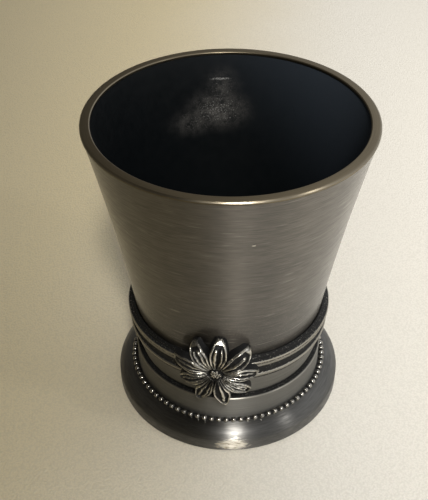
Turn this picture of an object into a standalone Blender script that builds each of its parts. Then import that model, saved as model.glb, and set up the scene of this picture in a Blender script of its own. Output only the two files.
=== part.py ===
"""Footed pewter beaker with a black liner, a ribbed band, a beaded foot and an applied flower.

The beaker stands on the XY plane with its axis on Z, and its flower faces -Y. Lengths are in metres.
Heights are stacked from the pad that it stands on, and radii grow out from the waist of the cup wall.
"""

import math

import bmesh
import bpy
from mathutils import Matrix, Vector

MM = 0.001

# Whole beaker
TOTAL_HEIGHT = 98.5 * MM
FACETS = 40
SEAT_GAP = 0.3 * MM
WELD = 0.01 * MM

# Ring that closes the double wall at the mouth
RIM_RADIUS = 41.0 * MM
RIM_WIDTH = 2.85 * MM
RIM_THICKNESS = 1.4 * MM
RIM_EASE = 0.35 * MM
RIM_EASE_STEPS = 2
RIM_LIP = 0.15 * MM

# Spun cup and the liner inside it
WAIST_RADIUS = 29.7 * MM
WALL_BOW = 0.67 * MM
WALL_STEPS = 6
CUP_WALL = 1.1 * MM
CUP_CORNER = 4.5 * MM
CORNER_STEPS = 3
LINER_WALL = 1.0 * MM

# Collar that the cup stands in, with its band, channel and ledge
COLLAR_WALL = 1.0 * MM
COLLAR_FLOOR = 2.0 * MM
COLLAR_SEAT_HEIGHT = 4.4 * MM
LEDGE_HEIGHT = 0.7 * MM
LEDGE_DROP = 0.4 * MM
CHANNEL_HEIGHT = 3.1 * MM
BAND_HEIGHT = 9.2 * MM
BAND_STEP = 0.1 * MM
BAND_TAPER = 2.5 * MM
SPIGOT_LENGTH = 3.0 * MM
SPIGOT_WALL = 3.0 * MM
BORE_STEPS = 3

# Wires round the collar
RIB_GROOVE = 0.4 * MM
UPPER_RIB_HEIGHT = 2.6 * MM
UPPER_RIB_PROUD = 0.9 * MM
UPPER_RIB_FILLET = 1.4 * MM
UPPER_RIB_CUT = 0.4 * MM
LOWER_RIB_HEIGHT = 1.5 * MM
LOWER_RIB_PROUD = 0.5 * MM
RIB_STEPS = 4

# Pedestal neck
NECK_HEIGHT = 9.3 * MM
NECK_WALL = 4.0 * MM
NECK_LIP_HEIGHT = 0.6 * MM
NECK_LIP_PROUD = 0.12 * MM
LOWER_LEDGE_WIDTH = 1.75 * MM
NECK_SPIGOT_LENGTH = 3.0 * MM

# Beaded wire
BEAD_DIAMETER = 1.8 * MM
BEAD_PITCH = 2.28 * MM
BEAD_NECK = 0.8 * MM
BEAD_SHOULDER = 0.5 * MM
BEAD_SIDE_STEPS = 1

# Foot, its closing plate and the pad under it
FOOT_HEIGHT = 7.0 * MM
FOOT_FLARE = 4.1 * MM
FOOT_EDGE = 4.0 * MM
FOOT_BROW = 0.4 * MM
FOOT_FLATNESS = 1.48
FOOT_STEPS = 6
FOOT_DECK = 2.0 * MM
FOOT_RIM_WIDTH = 3.2 * MM
FOOT_LIFT = 0.4 * MM
PLATE_THICKNESS = 1.2 * MM
PLATE_LEDGE = 2.0 * MM
PAD_THICKNESS = 0.7 * MM
PAD_MARGIN = 0.6 * MM

# Flower on the band
PETALS = 9
PETAL_STEPS = 8
PETAL_RINGS = (0.12, 0.4, 0.7, 0.9, 1.0)
PETAL_BORDER = 0.9
PETAL_BORDER_REACH = 0.2
PETAL_POINT = 1.25
PETAL_SEAM = 8
FLOWER_RADIUS = 12.4 * MM
FLOWER_NOTCH = 8.0 * MM
FLOWER_TURN = math.radians(-6.0)
FLOWER_RISE = 1.0 * MM
PETAL_THICKNESS = 1.9 * MM
PETAL_RIDGE = 0.55 * MM
PETAL_VALLEY = 0.7 * MM
PETAL_CURL = 0.2 * MM
BOSS_RADIUS = 2.5 * MM
BOSS_HEIGHT = 1.0 * MM
BOSS_STEPS = 3
STEM_RADIUS = 1.3 * MM
GRANULES = 6
GRANULE_RADIUS = 0.6 * MM
GRANULE_RING = 1.5 * MM
GRANULE_SINK = 0.2 * MM
GRANULE_SIDES = 8
GRANULE_RINGS = 5
BOSS_SIDES = 16

SMOOTH_ANGLE = math.radians(32.0)

# Heights, from the pad upward
PLATE_BOTTOM = PAD_THICKNESS + SEAT_GAP
PLATE_TOP = PLATE_BOTTOM + PLATE_THICKNESS
DECK_TOP = FOOT_LIFT + FOOT_HEIGHT
NECK_BOTTOM = DECK_TOP + SEAT_GAP
NECK_TOP = NECK_BOTTOM + NECK_HEIGHT
BAND_BOTTOM = NECK_TOP + SEAT_GAP
BAND_TOP = BAND_BOTTOM + BAND_HEIGHT
LOWER_RIB_BOTTOM = BAND_TOP + SEAT_GAP
LOWER_RIB_TOP = LOWER_RIB_BOTTOM + LOWER_RIB_HEIGHT
UPPER_RIB_BOTTOM = LOWER_RIB_TOP + CHANNEL_HEIGHT
UPPER_RIB_TOP = UPPER_RIB_BOTTOM + UPPER_RIB_HEIGHT
COLLAR_TOP = UPPER_RIB_TOP + SEAT_GAP + LEDGE_HEIGHT
COLLAR_SEAT = BAND_BOTTOM + COLLAR_SEAT_HEIGHT
CUP_BASE = COLLAR_SEAT + SEAT_GAP
CUP_TOP = TOTAL_HEIGHT - RIM_THICKNESS - SEAT_GAP
FLOWER_HEIGHT = UPPER_RIB_BOTTOM + FLOWER_RISE

# Radii, from the waist outward
CHANNEL_RADIUS = WAIST_RADIUS + SEAT_GAP + COLLAR_WALL
GROOVE_RADIUS = CHANNEL_RADIUS - RIB_GROOVE
RIB_BACK = GROOVE_RADIUS + SEAT_GAP
UPPER_RIB_RADIUS = CHANNEL_RADIUS + UPPER_RIB_PROUD + BAND_STEP
LOWER_RIB_RADIUS = CHANNEL_RADIUS + LOWER_RIB_PROUD + BAND_STEP
BAND_RADIUS = CHANNEL_RADIUS + BAND_STEP
BAND_FOOT_RADIUS = BAND_RADIUS - BAND_TAPER
NECK_LIP_RADIUS = BAND_FOOT_RADIUS + LOWER_LEDGE_WIDTH
NECK_RADIUS = NECK_LIP_RADIUS - NECK_LIP_PROUD
NECK_BORE = NECK_RADIUS - NECK_WALL
NECK_SPIGOT_RADIUS = (NECK_BORE + NECK_RADIUS) / 2
BEAD_RING_RADIUS = NECK_RADIUS + SEAT_GAP + BEAD_DIAMETER / 2
BEAD_RING_HEIGHT = DECK_TOP + SEAT_GAP + BEAD_DIAMETER / 2
DECK_RADIUS = BEAD_RING_RADIUS + BEAD_DIAMETER / 2 + SEAT_GAP
FOOT_RADIUS = DECK_RADIUS + FOOT_FLARE
PLATE_RECESS = FOOT_RADIUS - FOOT_RIM_WIDTH
PLATE_RADIUS = PLATE_RECESS - SEAT_GAP
FLOWER_HUB = BOSS_RADIUS + SEAT_GAP


def clear_scene():
    """Empties the scene of whatever it opened with."""
    for obj in list(bpy.data.objects):
        bpy.data.objects.remove(obj, do_unlink=True)


def new_collection(name):
    """A collection of this name, linked to the scene."""
    collection = bpy.data.collections.new(name)
    bpy.context.scene.collection.children.link(collection)
    return collection


def finish(name, colour, roughness, metallic):
    """A plain material of one colour."""
    material = bpy.data.materials.new(name)
    material.use_nodes = True
    shader = material.node_tree.nodes["Principled BSDF"]
    shader.inputs["Base Color"].default_value = (*colour, 1.0)
    shader.inputs["Roughness"].default_value = roughness
    shader.inputs["Metallic"].default_value = metallic
    return material


def pewter(name, shade=0.16, roughness=0.38):
    """Dark warm-grey metal."""
    return finish(name, (shade, shade * 0.97, shade * 0.9), roughness, 1.0)


def add_object(name, data, collection, parent, material):
    """Puts a mesh or curve in the scene as one named piece."""
    obj = bpy.data.objects.new(name, data)
    data.materials.append(material)
    collection.objects.link(obj)
    obj.parent = parent
    return obj


def shade(mesh):
    """Smooth shading with the turned corners kept crisp."""
    mesh.shade_smooth()
    mesh.set_sharp_from_angle(angle=SMOOTH_ANGLE)


def baked(obj):
    """Replaces the object's mesh and modifiers by the mesh that they make."""
    graph = bpy.context.evaluated_depsgraph_get()
    mesh = bpy.data.meshes.new_from_object(obj.evaluated_get(graph))
    mesh.name = obj.name
    obj.modifiers.clear()
    obj.data = mesh
    shade(mesh)


def turned(name, profile, closed, collection, parent, material, sides=FACETS):
    """A piece turned on the Z axis from a profile of radius and height.

    The profile goes up the inner side and down the outer side. An open one starts and ends on the axis.
    """
    mesh = bpy.data.meshes.new(name)
    count = len(profile)
    edges = [(i, (i + 1) % count) for i in range(count if closed else count - 1)]
    mesh.from_pydata([(radius, 0.0, height) for radius, height in profile], edges, [])
    obj = add_object(name, mesh, collection, parent, material)
    screw = obj.modifiers.new("Turn", "SCREW")
    screw.axis = "Z"
    screw.steps = sides
    screw.render_steps = sides
    screw.use_merge_vertices = True
    screw.merge_threshold = WELD
    screw.use_smooth_shade = True
    baked(obj)
    return obj


def arc(centre, across, up, start, end, steps):
    """Points on a quarter or part of an ellipse, between two angles in degrees."""
    angles = [math.radians(start + (end - start) * i / steps) for i in range(steps + 1)]
    return [(centre[0] + across * math.cos(a), centre[1] + up * math.sin(a)) for a in angles]


def wall_radius(height):
    """Outer radius of the cup wall, which bows in a little between waist and rim."""
    share = (height - COLLAR_TOP) / (TOTAL_HEIGHT - COLLAR_TOP)
    straight = WAIST_RADIUS + share * (RIM_RADIUS - RIM_LIP - WAIST_RADIUS)
    return straight - 4 * WALL_BOW * share * (1 - share)


def wall_line(inset, low, high, steps):
    """Points up the cup wall, moved in towards the axis."""
    heights = [low + (high - low) * i / steps for i in range(steps + 1)]
    return [(wall_radius(height) - inset, height) for height in heights]


def cup_profile(inset, wall):
    """Profile of a cup that follows the wall at this inset, open at the top, with a rounded corner."""
    base = CUP_BASE + inset
    bend = CUP_BASE + CUP_CORNER
    corner = CUP_CORNER - inset
    centre = (wall_radius(bend) - CUP_CORNER, bend)
    inside = arc(centre, corner - wall, corner - wall, -90, 0, CORNER_STEPS)
    outside = arc(centre, corner, corner, 0, -90, CORNER_STEPS)
    inner_wall = wall_line(inset + wall, bend, CUP_TOP, WALL_STEPS)[1:]
    outer_wall = wall_line(inset, bend, CUP_TOP, WALL_STEPS)[:0:-1]
    return [(0.0, base + wall), *inside, *inner_wall, *outer_wall, *outside, (0.0, base)]


def rim_profile():
    """Flat ring with both upper edges eased."""
    inner = RIM_RADIUS - RIM_WIDTH
    low = TOTAL_HEIGHT - RIM_THICKNESS
    shoulder = TOTAL_HEIGHT - RIM_EASE
    inner_edge = arc((inner + RIM_EASE, shoulder), RIM_EASE, RIM_EASE, 180, 90, RIM_EASE_STEPS)
    outer_edge = arc((RIM_RADIUS - RIM_EASE, shoulder), RIM_EASE, RIM_EASE, 90, 0, RIM_EASE_STEPS)
    return [(inner, low), *inner_edge, *outer_edge, (RIM_RADIUS, low)]


def collar_profile():
    """Socket for the cup: ledge, two rib grooves with the channel between, tapered band and spigot."""
    spigot = NECK_BORE - SEAT_GAP
    floor_bottom = COLLAR_SEAT - COLLAR_FLOOR
    spigot_bottom = BAND_BOTTOM - SPIGOT_LENGTH
    bore = wall_line(-SEAT_GAP, COLLAR_SEAT, COLLAR_TOP, BORE_STEPS)
    return [
        (0.0, COLLAR_SEAT),
        *bore,
        (CHANNEL_RADIUS, COLLAR_TOP - LEDGE_DROP),
        (CHANNEL_RADIUS, UPPER_RIB_TOP + SEAT_GAP),
        (GROOVE_RADIUS, UPPER_RIB_TOP + SEAT_GAP),
        (GROOVE_RADIUS, UPPER_RIB_BOTTOM - SEAT_GAP),
        (CHANNEL_RADIUS, UPPER_RIB_BOTTOM - SEAT_GAP),
        (CHANNEL_RADIUS, LOWER_RIB_TOP + SEAT_GAP),
        (GROOVE_RADIUS, LOWER_RIB_TOP + SEAT_GAP),
        (GROOVE_RADIUS, BAND_TOP),
        (BAND_RADIUS, BAND_TOP),
        (BAND_FOOT_RADIUS, BAND_BOTTOM),
        (spigot, BAND_BOTTOM),
        (spigot, spigot_bottom),
        (spigot - SPIGOT_WALL, spigot_bottom),
        (spigot - SPIGOT_WALL, floor_bottom),
        (0.0, floor_bottom),
    ]


def upper_rib_profile():
    """Moulded wire: a sloped top, a flat fillet, a fine cut and a small reed under it."""
    fillet_bottom = UPPER_RIB_TOP - UPPER_RIB_FILLET
    reed_height = fillet_bottom - UPPER_RIB_CUT - UPPER_RIB_BOTTOM
    reed_depth = UPPER_RIB_RADIUS - UPPER_RIB_CUT - RIB_BACK
    cut = fillet_bottom - UPPER_RIB_CUT / 2
    reed_centre = (RIB_BACK + reed_depth / 2, UPPER_RIB_BOTTOM + reed_height / 2)
    reed = arc(reed_centre, reed_depth / 2 + UPPER_RIB_CUT / 2, reed_height / 2, 90, -90, RIB_STEPS)
    return [
        (RIB_BACK, UPPER_RIB_BOTTOM),
        (RIB_BACK, UPPER_RIB_TOP),
        (UPPER_RIB_RADIUS, UPPER_RIB_TOP - UPPER_RIB_CUT),
        (UPPER_RIB_RADIUS, fillet_bottom),
        (UPPER_RIB_RADIUS - UPPER_RIB_CUT, cut),
        *reed,
    ]


def lower_rib_profile():
    """Half-round wire with a flat back."""
    middle = LOWER_RIB_BOTTOM + LOWER_RIB_HEIGHT / 2
    depth = LOWER_RIB_RADIUS - RIB_BACK
    return arc((RIB_BACK, middle), depth, LOWER_RIB_HEIGHT / 2, 90, -90, RIB_STEPS)


def neck_profile():
    """Pedestal ring with a thin lip round its ledge and a spigot below."""
    lip_bottom = NECK_TOP - NECK_LIP_HEIGHT
    spigot_bottom = NECK_BOTTOM - NECK_SPIGOT_LENGTH
    return [
        (NECK_BORE, spigot_bottom),
        (NECK_BORE, NECK_TOP),
        (NECK_LIP_RADIUS - NECK_LIP_PROUD, NECK_TOP),
        (NECK_LIP_RADIUS, NECK_TOP - NECK_LIP_PROUD),
        (NECK_LIP_RADIUS, lip_bottom),
        (NECK_RADIUS, lip_bottom - NECK_LIP_PROUD),
        (NECK_RADIUS, NECK_BOTTOM),
        (NECK_SPIGOT_RADIUS, NECK_BOTTOM),
        (NECK_SPIGOT_RADIUS, spigot_bottom),
    ]


def flattened_arc(centre, across, up, flatness, steps):
    """Points from the top of a quarter round out to its side: flatness 1 is an ellipse and 2 is straight."""
    angles = [math.radians(90 * i / steps) for i in range(steps + 1)]
    return [
        (centre[0] + across * math.sin(a) ** flatness, centre[1] + up * math.cos(a) ** flatness)
        for a in angles
    ]


def foot_profile():
    """Hollow foot: deck for the beads, flattened flare, upright edge and a recess below for the plate."""
    bore = NECK_SPIGOT_RADIUS + SEAT_GAP
    deck_bottom = DECK_TOP - FOOT_DECK
    edge_top = FOOT_LIFT + FOOT_EDGE
    rise = DECK_TOP + FOOT_BROW - edge_top
    flare = flattened_arc((DECK_RADIUS, edge_top), FOOT_FLARE, rise, FOOT_FLATNESS, FOOT_STEPS)
    recess_top = PLATE_TOP + SEAT_GAP
    hollow = PLATE_RECESS - PLATE_LEDGE
    return [
        (bore, deck_bottom),
        (bore, DECK_TOP),
        (DECK_RADIUS, DECK_TOP),
        *flare,
        (FOOT_RADIUS, FOOT_LIFT),
        (PLATE_RECESS, FOOT_LIFT),
        (PLATE_RECESS, recess_top),
        (hollow, recess_top),
        (hollow, deck_bottom),
    ]


def disc_profile(radius, low, high):
    """Plain disc."""
    return [(0.0, high), (radius, high), (radius, low), (0.0, low)]


def bead_wire(collection, parent, material):
    """Beaded wire: one closed wire whose radius swells and narrows once for each bead."""
    count = round(2 * math.pi * BEAD_RING_RADIUS / BEAD_PITCH)
    shoulder = BEAD_SHOULDER / BEAD_PITCH
    swells = (
        (0.0, BEAD_NECK / 2),
        (0.5 - shoulder, BEAD_DIAMETER / 2),
        (0.5 + shoulder, BEAD_DIAMETER / 2),
    )
    curve = bpy.data.curves.new("bead_wire", "CURVE")
    curve.dimensions = "3D"
    curve.bevel_depth = 1.0
    curve.bevel_resolution = BEAD_SIDE_STEPS
    spline = curve.splines.new("POLY")
    spline.points.add(count * len(swells) - 1)
    spline.use_cyclic_u = True
    for index, point in enumerate(spline.points):
        bead, step = divmod(index, len(swells))
        share, swell = swells[step]
        angle = 2 * math.pi * (bead + share) / count
        across = BEAD_RING_RADIUS * math.cos(angle)
        along = BEAD_RING_RADIUS * math.sin(angle)
        point.co = (across, along, BEAD_RING_HEIGHT, 1.0)
        point.radius = swell
    return add_object("bead_wire", curve, collection, parent, material)


def petal_outline(across):
    """Distance from the flower's middle to its edge, from the middle of a petal (0) to the notch (1)."""
    return FLOWER_RADIUS - (FLOWER_RADIUS - FLOWER_NOTCH) * abs(across) ** PETAL_POINT


def petal_relief(across, along):
    """Height of the petal's face: outline and veins stand up, the seam between petals lies low."""
    veins = 0.5 - 0.5 * math.cos(4 * math.pi * across)
    border = max(0.0, 1.0 - abs(along - PETAL_BORDER) / PETAL_BORDER_REACH)
    rise = min(1.0, along / PETAL_RINGS[0])
    seam = abs(across) ** PETAL_SEAM * (1 - border)
    raised = PETAL_RIDGE * max(veins, border) - PETAL_VALLEY * seam
    return PETAL_THICKNESS + raised * rise + PETAL_CURL * along ** 2


def flower_seat():
    """Radius of the flower's back, which clears the upper rib and the wall behind the top petals."""
    return max(UPPER_RIB_RADIUS, wall_radius(FLOWER_HEIGHT + FLOWER_RADIUS)) + SEAT_GAP


def on_band(across, up, out):
    """A point of the flower laid round the beaker: distance round, height, and distance off its seat."""
    angle = across / flower_seat()
    radius = flower_seat() + out
    return Vector((radius * math.sin(angle), -radius * math.cos(angle), FLOWER_HEIGHT + up))


def petal_place(vert, back):
    """Where a point of the plain round disc goes on the flower, whose hub lies flat under the boss."""
    turn = math.atan2(vert.co.y, vert.co.x)
    radius = vert.co.xy.length
    along = max(0.0, (radius - FLOWER_HUB) / (FLOWER_RADIUS - FLOWER_HUB))
    sector = turn * PETALS / (2 * math.pi)
    across = 2 * (sector - round(sector))
    reach = min(radius, FLOWER_HUB) + along * (petal_outline(across) - FLOWER_HUB)
    angle = math.pi / 2 + FLOWER_TURN - turn
    out = 0.0 if back else petal_relief(across, along)
    return on_band(reach * math.cos(angle), reach * math.sin(angle), out)


def flower_petals(collection, parent, material):
    """Nine petals in one casting: a disc, drawn in to the petals' outline and laid round the ribs."""
    form = bmesh.new()
    span = FLOWER_RADIUS - FLOWER_HUB
    rings = [STEM_RADIUS + SEAT_GAP, FLOWER_HUB, *(FLOWER_HUB + share * span for share in PETAL_RINGS)]
    line = [form.verts.new((ring, 0.0, 0.0)) for ring in rings]
    edges = [form.edges.new(pair) for pair in zip(line, line[1:])]
    bmesh.ops.spin(
        form,
        geom=line + edges,
        cent=(0, 0, 0),
        axis=(0, 0, 1),
        angle=2 * math.pi,
        steps=PETALS * PETAL_STEPS,
        use_merge=True,
    )
    front = set(form.verts)
    bmesh.ops.solidify(form, geom=form.faces[:], thickness=PETAL_THICKNESS)
    places = {vert: petal_place(vert, vert not in front) for vert in form.verts}
    for vert, place in places.items():
        vert.co = place
    form.normal_update()
    bmesh.ops.recalc_face_normals(form, faces=form.faces)
    mesh = bpy.data.meshes.new("flower_petals")
    form.to_mesh(mesh)
    form.free()
    shade(mesh)
    return add_object("flower_petals", mesh, collection, parent, material)


def granules(collection, parent, material, crown):
    """Small round grains on the boss, one in the middle and a ring round it."""
    form = bmesh.new()
    level = crown - GRANULE_SINK
    drop = BOSS_HEIGHT * (1 - math.sqrt(1 - (GRANULE_RING / BOSS_RADIUS) ** 2))
    places = [Vector((0.0, 0.0, level))]
    for grain in range(GRANULES):
        angle = 2 * math.pi * grain / GRANULES
        across = GRANULE_RING * math.cos(angle)
        along = GRANULE_RING * math.sin(angle)
        places.append(Vector((across, along, level - drop)))
    for place in places:
        bmesh.ops.create_uvsphere(
            form,
            u_segments=GRANULE_SIDES,
            v_segments=GRANULE_RINGS,
            radius=GRANULE_RADIUS,
            matrix=Matrix.Translation(place),
        )
    mesh = bpy.data.meshes.new("granules")
    form.to_mesh(mesh)
    form.free()
    obj = add_object("granules", mesh, collection, parent, material)
    obj.hide_render = True
    obj.display_type = "WIRE"
    return obj


def flower_centre(collection, tools, parent, material):
    """Domed boss with grains on it and a stem that goes through the petals."""
    seat = PETAL_THICKNESS + SEAT_GAP
    dome = arc((0.0, seat), BOSS_RADIUS, BOSS_HEIGHT, 90, 0, BOSS_STEPS)
    profile = [*dome, (STEM_RADIUS, seat), (STEM_RADIUS, 0.0), (0.0, 0.0)]
    obj = turned("flower_centre", profile, False, collection, parent, material, BOSS_SIDES)
    grains = granules(tools, parent, material, seat + BOSS_HEIGHT)
    union = obj.modifiers.new("Grains", "BOOLEAN")
    union.operation = "UNION"
    union.object = grains
    return obj


def main():
    """Builds the beaker."""
    clear_scene()
    parts = new_collection("footed_beaker")
    tools = new_collection("tools")
    stand = bpy.data.objects.new("stand", None)
    parts.objects.link(stand)
    flower_mount = bpy.data.objects.new("flower_mount", None)
    parts.objects.link(flower_mount)
    flower_mount.parent = stand
    flower_mount.location = on_band(0.0, 0.0, 0.0)
    flower_mount.rotation_euler = (math.pi / 2, 0.0, 0.0)
    bpy.context.view_layer.update()

    black = finish("black_liner", (0.012, 0.014, 0.016), 0.45, 0.0)
    turned("rim_ring", rim_profile(), True, parts, stand, pewter("rim_pewter", 0.2, 0.32))
    turned("outer_cup", cup_profile(0.0, CUP_WALL), False, parts, stand, pewter("cup_pewter"))
    turned("inner_liner", cup_profile(CUP_WALL + SEAT_GAP, LINER_WALL), False, parts, stand, black)
    turned("band_collar", collar_profile(), False, parts, stand, pewter("collar_pewter", 0.12, 0.45))
    turned("upper_rib", upper_rib_profile(), True, parts, stand, pewter("upper_rib_pewter", 0.2, 0.3))
    turned("lower_rib", lower_rib_profile(), True, parts, stand, pewter("lower_rib_pewter", 0.2, 0.3))
    turned("neck", neck_profile(), True, parts, stand, pewter("neck_pewter", 0.13, 0.42))
    bead_wire(parts, stand, pewter("bead_pewter", 0.2, 0.25))
    turned("foot", foot_profile(), True, parts, stand, pewter("foot_pewter", 0.15, 0.34))
    plate = disc_profile(PLATE_RADIUS, PLATE_BOTTOM, PLATE_TOP)
    turned("base_plate", plate, False, parts, stand, pewter("plate_pewter", 0.14, 0.5))
    pad = disc_profile(PLATE_RADIUS - PAD_MARGIN, 0.0, PAD_THICKNESS)
    turned("base_pad", pad, False, parts, stand, finish("pad_rubber", (0.02, 0.02, 0.02), 0.9, 0.0))
    flower_petals(parts, stand, pewter("petal_pewter", 0.18, 0.3))
    flower_centre(parts, tools, flower_mount, pewter("boss_pewter", 0.2, 0.3))


main()
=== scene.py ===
"""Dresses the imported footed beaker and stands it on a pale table.

The turned pieces are spun again at full fineness, the flower is chased petal by petal, and each metal has
its own worn finish. Sizes are written in millimetres, and the meshes are in metres.
"""

import logging
import math
import random
from collections.abc import Callable, Iterable, Sequence
from dataclasses import dataclass
from enum import Enum

import bmesh
import bpy
from mathutils import Matrix, Vector, noise


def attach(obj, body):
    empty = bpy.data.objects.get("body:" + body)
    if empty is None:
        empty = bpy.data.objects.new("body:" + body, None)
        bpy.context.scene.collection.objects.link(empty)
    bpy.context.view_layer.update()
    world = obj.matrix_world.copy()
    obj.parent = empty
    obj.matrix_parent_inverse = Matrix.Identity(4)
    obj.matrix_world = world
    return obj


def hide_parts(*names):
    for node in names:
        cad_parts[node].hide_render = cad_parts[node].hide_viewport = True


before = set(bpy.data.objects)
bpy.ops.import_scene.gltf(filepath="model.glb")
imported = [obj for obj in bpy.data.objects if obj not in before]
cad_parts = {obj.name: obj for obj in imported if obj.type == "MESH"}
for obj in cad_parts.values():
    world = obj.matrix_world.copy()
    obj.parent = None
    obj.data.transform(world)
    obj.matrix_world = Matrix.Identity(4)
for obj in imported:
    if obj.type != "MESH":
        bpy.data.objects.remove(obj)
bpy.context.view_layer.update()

LOG = logging.getLogger("beaker")
MM = 0.001
BODY = "root"
WEAR = "wear"
SHARP = math.radians(38.0)
WELD = 1e-7
DECIMALS = 6
ROUNDING = 5

Point = tuple[float, float, float]
Colour = tuple[float, float, float]
Span = tuple[float, float]
# How far inside and below a point a corner lies, its rounding and its wear
Row = tuple[float, float, float, float]
# Where a change starts and is full, and what it goes from and to
Ramp = tuple[float, float, float, float]
Socket = bpy.types.NodeSocket
Feed = Socket | float | tuple[float, ...]


def smooth(value: float, low: float, high: float) -> float:
    """Eases a value from 0 at low to 1 at high."""
    share = min(1.0, max(0.0, (value - low) / (high - low)))
    return share * share * (3.0 - 2.0 * share)


def bell(value: float, middle: float, reach: float) -> float:
    """Height of a round ridge of height 1, which has fallen to about a third at its reach."""
    return math.exp(-(((value - middle) / reach) ** 2))


class Sum(Enum):
    """Arithmetic on numbers that the finishes use."""

    ADD = "ADD"
    TIMES = "MULTIPLY"
    MOST = "MAXIMUM"
    LESS = "SUBTRACT"


class Gauge(Enum):
    """Arithmetic on places and directions that the finishes and the room's light use."""

    OFFSET = "SUBTRACT"
    SHARE = "DIVIDE"
    LENGTH = "LENGTH"
    FACING = "DOT_PRODUCT"


class Lay(Enum):
    """How turning marks run on a piece, as its radius and height count towards them."""

    UPRIGHT = (0.2, 1.0)
    FLAT = (1.0, 0.2)
    FALLING = (1.0, -1.0)


@dataclass(frozen=True)
class Grain:
    """Soft random grain, about 0.5 on average."""

    scale: float = 1.0  # Grains to a unit of the coordinates that it is read at
    detail: float = 2.0  # Finer layers added to the first
    rough: float = 0.5  # How strong the finer layers are


@dataclass(frozen=True)
class Patch:
    """A place on a piece."""

    middle: Point  # Its middle, in millimetres
    reach: Point  # Half its size along X, Y and Z, in millimetres


class NodeBench:
    """The nodes of a finish or of the room's light, with a short call for each kind in use."""

    def __init__(
        self,
        owner: bpy.types.Material | bpy.types.World,
        shader: str = "Principled BSDF",
        place: str = "Object",
    ) -> None:
        """Starts on the nodes of a material or a world.

        Args:
            owner: The material or world.
            shader: The name of its shader.
            place: The coordinates that its patterns are read at.
        """
        owner.use_nodes = True
        self.owner = owner
        self.tree = owner.node_tree
        self.shader = self.tree.nodes[shader]
        self.place = self.node("ShaderNodeTexCoord").outputs[place]

    def node(self, kind: str, feeds: dict[str | int, Feed] | None = None, **settings: str) -> bpy.types.Node:
        """Adds a node.

        Args:
            kind: The node's type.
            feeds: What its sockets are fed, by name or number.
            settings: Its own settings.

        Returns:
            The node.
        """
        made = self.tree.nodes.new(kind)
        for key, value in settings.items():
            setattr(made, key, value)
        for key, value in (feeds or {}).items():
            self.plug(made.inputs[key], value)
        return made

    def plug(self, socket: Socket, value: Feed) -> None:
        """Feeds a socket from another socket, or sets its value.

        Args:
            socket: The socket to feed.
            value: An output to link, or a number, place or colour.
        """
        if isinstance(value, Socket):
            self.tree.links.new(value, socket)
        elif isinstance(value, tuple) and socket.type == "RGBA":
            socket.default_value = (*value, 1.0)
        else:
            socket.default_value = value

    def dress(self, feeds: dict[str, Feed]) -> None:
        """Feeds the shader's sockets by name."""
        for name, value in feeds.items():
            self.plug(self.shader.inputs[name], value)

    def work(self, what: Sum, *parts: Feed) -> Socket:
        """Works through two or more numbers from left to right.

        Args:
            what: The operation.
            parts: The numbers.

        Returns:
            The result.
        """
        total = parts[0]
        for part in parts[1:]:
            total = self.node("ShaderNodeMath", {0: total, 1: part}, operation=what.value).outputs[0]
        return total

    def gauge(self, what: Gauge, first: Feed, second: Feed = (0.0, 0.0, 0.0)) -> Socket:
        """Measures a place or direction, against a second one where the operation takes two."""
        made = self.node("ShaderNodeVectorMath", {0: first, 1: second}, operation=what.value)
        return made.outputs["Value" if what in (Gauge.LENGTH, Gauge.FACING) else "Vector"]

    def ease(self, value: Feed, low: float, high: float, start: float = 0.0, end: float = 1.0) -> Socket:
        """Eases a value, from start where it is low to end where it is high."""
        feeds = {"Value": value, "From Min": low, "From Max": high, "To Min": start, "To Max": end}
        return self.node("ShaderNodeMapRange", feeds, interpolation_type="SMOOTHSTEP").outputs["Result"]

    def grain(self, grain: Grain, place: Socket | None = None) -> Socket:
        """Adds soft random grain.

        Args:
            grain: The grain.
            place: Where it is read, if not at the piece's own coordinates.

        Returns:
            The grain, from 0 to 1.
        """
        feeds = {"Scale": grain.scale, "Detail": grain.detail, "Roughness": grain.rough}
        feeds["Vector"] = self.place if place is None else place
        return self.node("ShaderNodeTexNoise", feeds).outputs["Fac"]

    def cells(self, scale: float) -> Socket:
        """Distance from the middle of the nearest of many pebbled cells, with scale of them to a metre."""
        return self.node("ShaderNodeTexVoronoi", {"Vector": self.place, "Scale": scale}).outputs["Distance"]

    def mix(self, share: Feed, low: Feed, high: Feed) -> Socket:
        """Mixes two colours, with a share of the second."""
        return self.node("ShaderNodeMix", {0: share, 6: low, 7: high}, data_type="RGBA").outputs[2]

    def between(self, share: Feed, low: Feed, high: Feed) -> Socket:
        """Mixes two numbers, with a share of the second."""
        return self.node("ShaderNodeMix", {0: share, 2: low, 3: high}, data_type="FLOAT").outputs[0]

    def wear(self) -> Socket:
        """The piece's own wear, from 0 where it stays dark to 1.5 where it shines."""
        return self.node("ShaderNodeAttribute", attribute_name=WEAR).outputs["Fac"]

    def axes(self) -> tuple[Socket, ...]:
        """The place's distance across, its depth and its height."""
        return tuple(self.node("ShaderNodeSeparateXYZ", {0: self.place}).outputs)

    def strokes(self, lay: Lay, stroke: float, pitch: float, grain: Grain) -> Socket:
        """Grain that runs slowly round a turned piece and fast along its profile.

        Args:
            lay: How the turning marks run.
            stroke: Length of a mark, in millimetres.
            pitch: Distance between marks, in millimetres.
            grain: The marks' grain.

        Returns:
            The grain.
        """
        across, deep, up = self.axes()
        level = self.node("ShaderNodeCombineXYZ", {0: across, 1: deep}).outputs[0]
        outward, upward = (count / (pitch * MM) for count in lay.value)
        out = self.work(Sum.TIMES, self.gauge(Gauge.LENGTH, level), outward)
        along = self.work(Sum.ADD, out, self.work(Sum.TIMES, up, upward))
        sides = [self.work(Sum.TIMES, side, 1.0 / (stroke * MM)) for side in (across, deep)]
        place = self.node("ShaderNodeCombineXYZ", dict(enumerate((*sides, along)))).outputs[0]
        return self.grain(grain, place)

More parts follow.
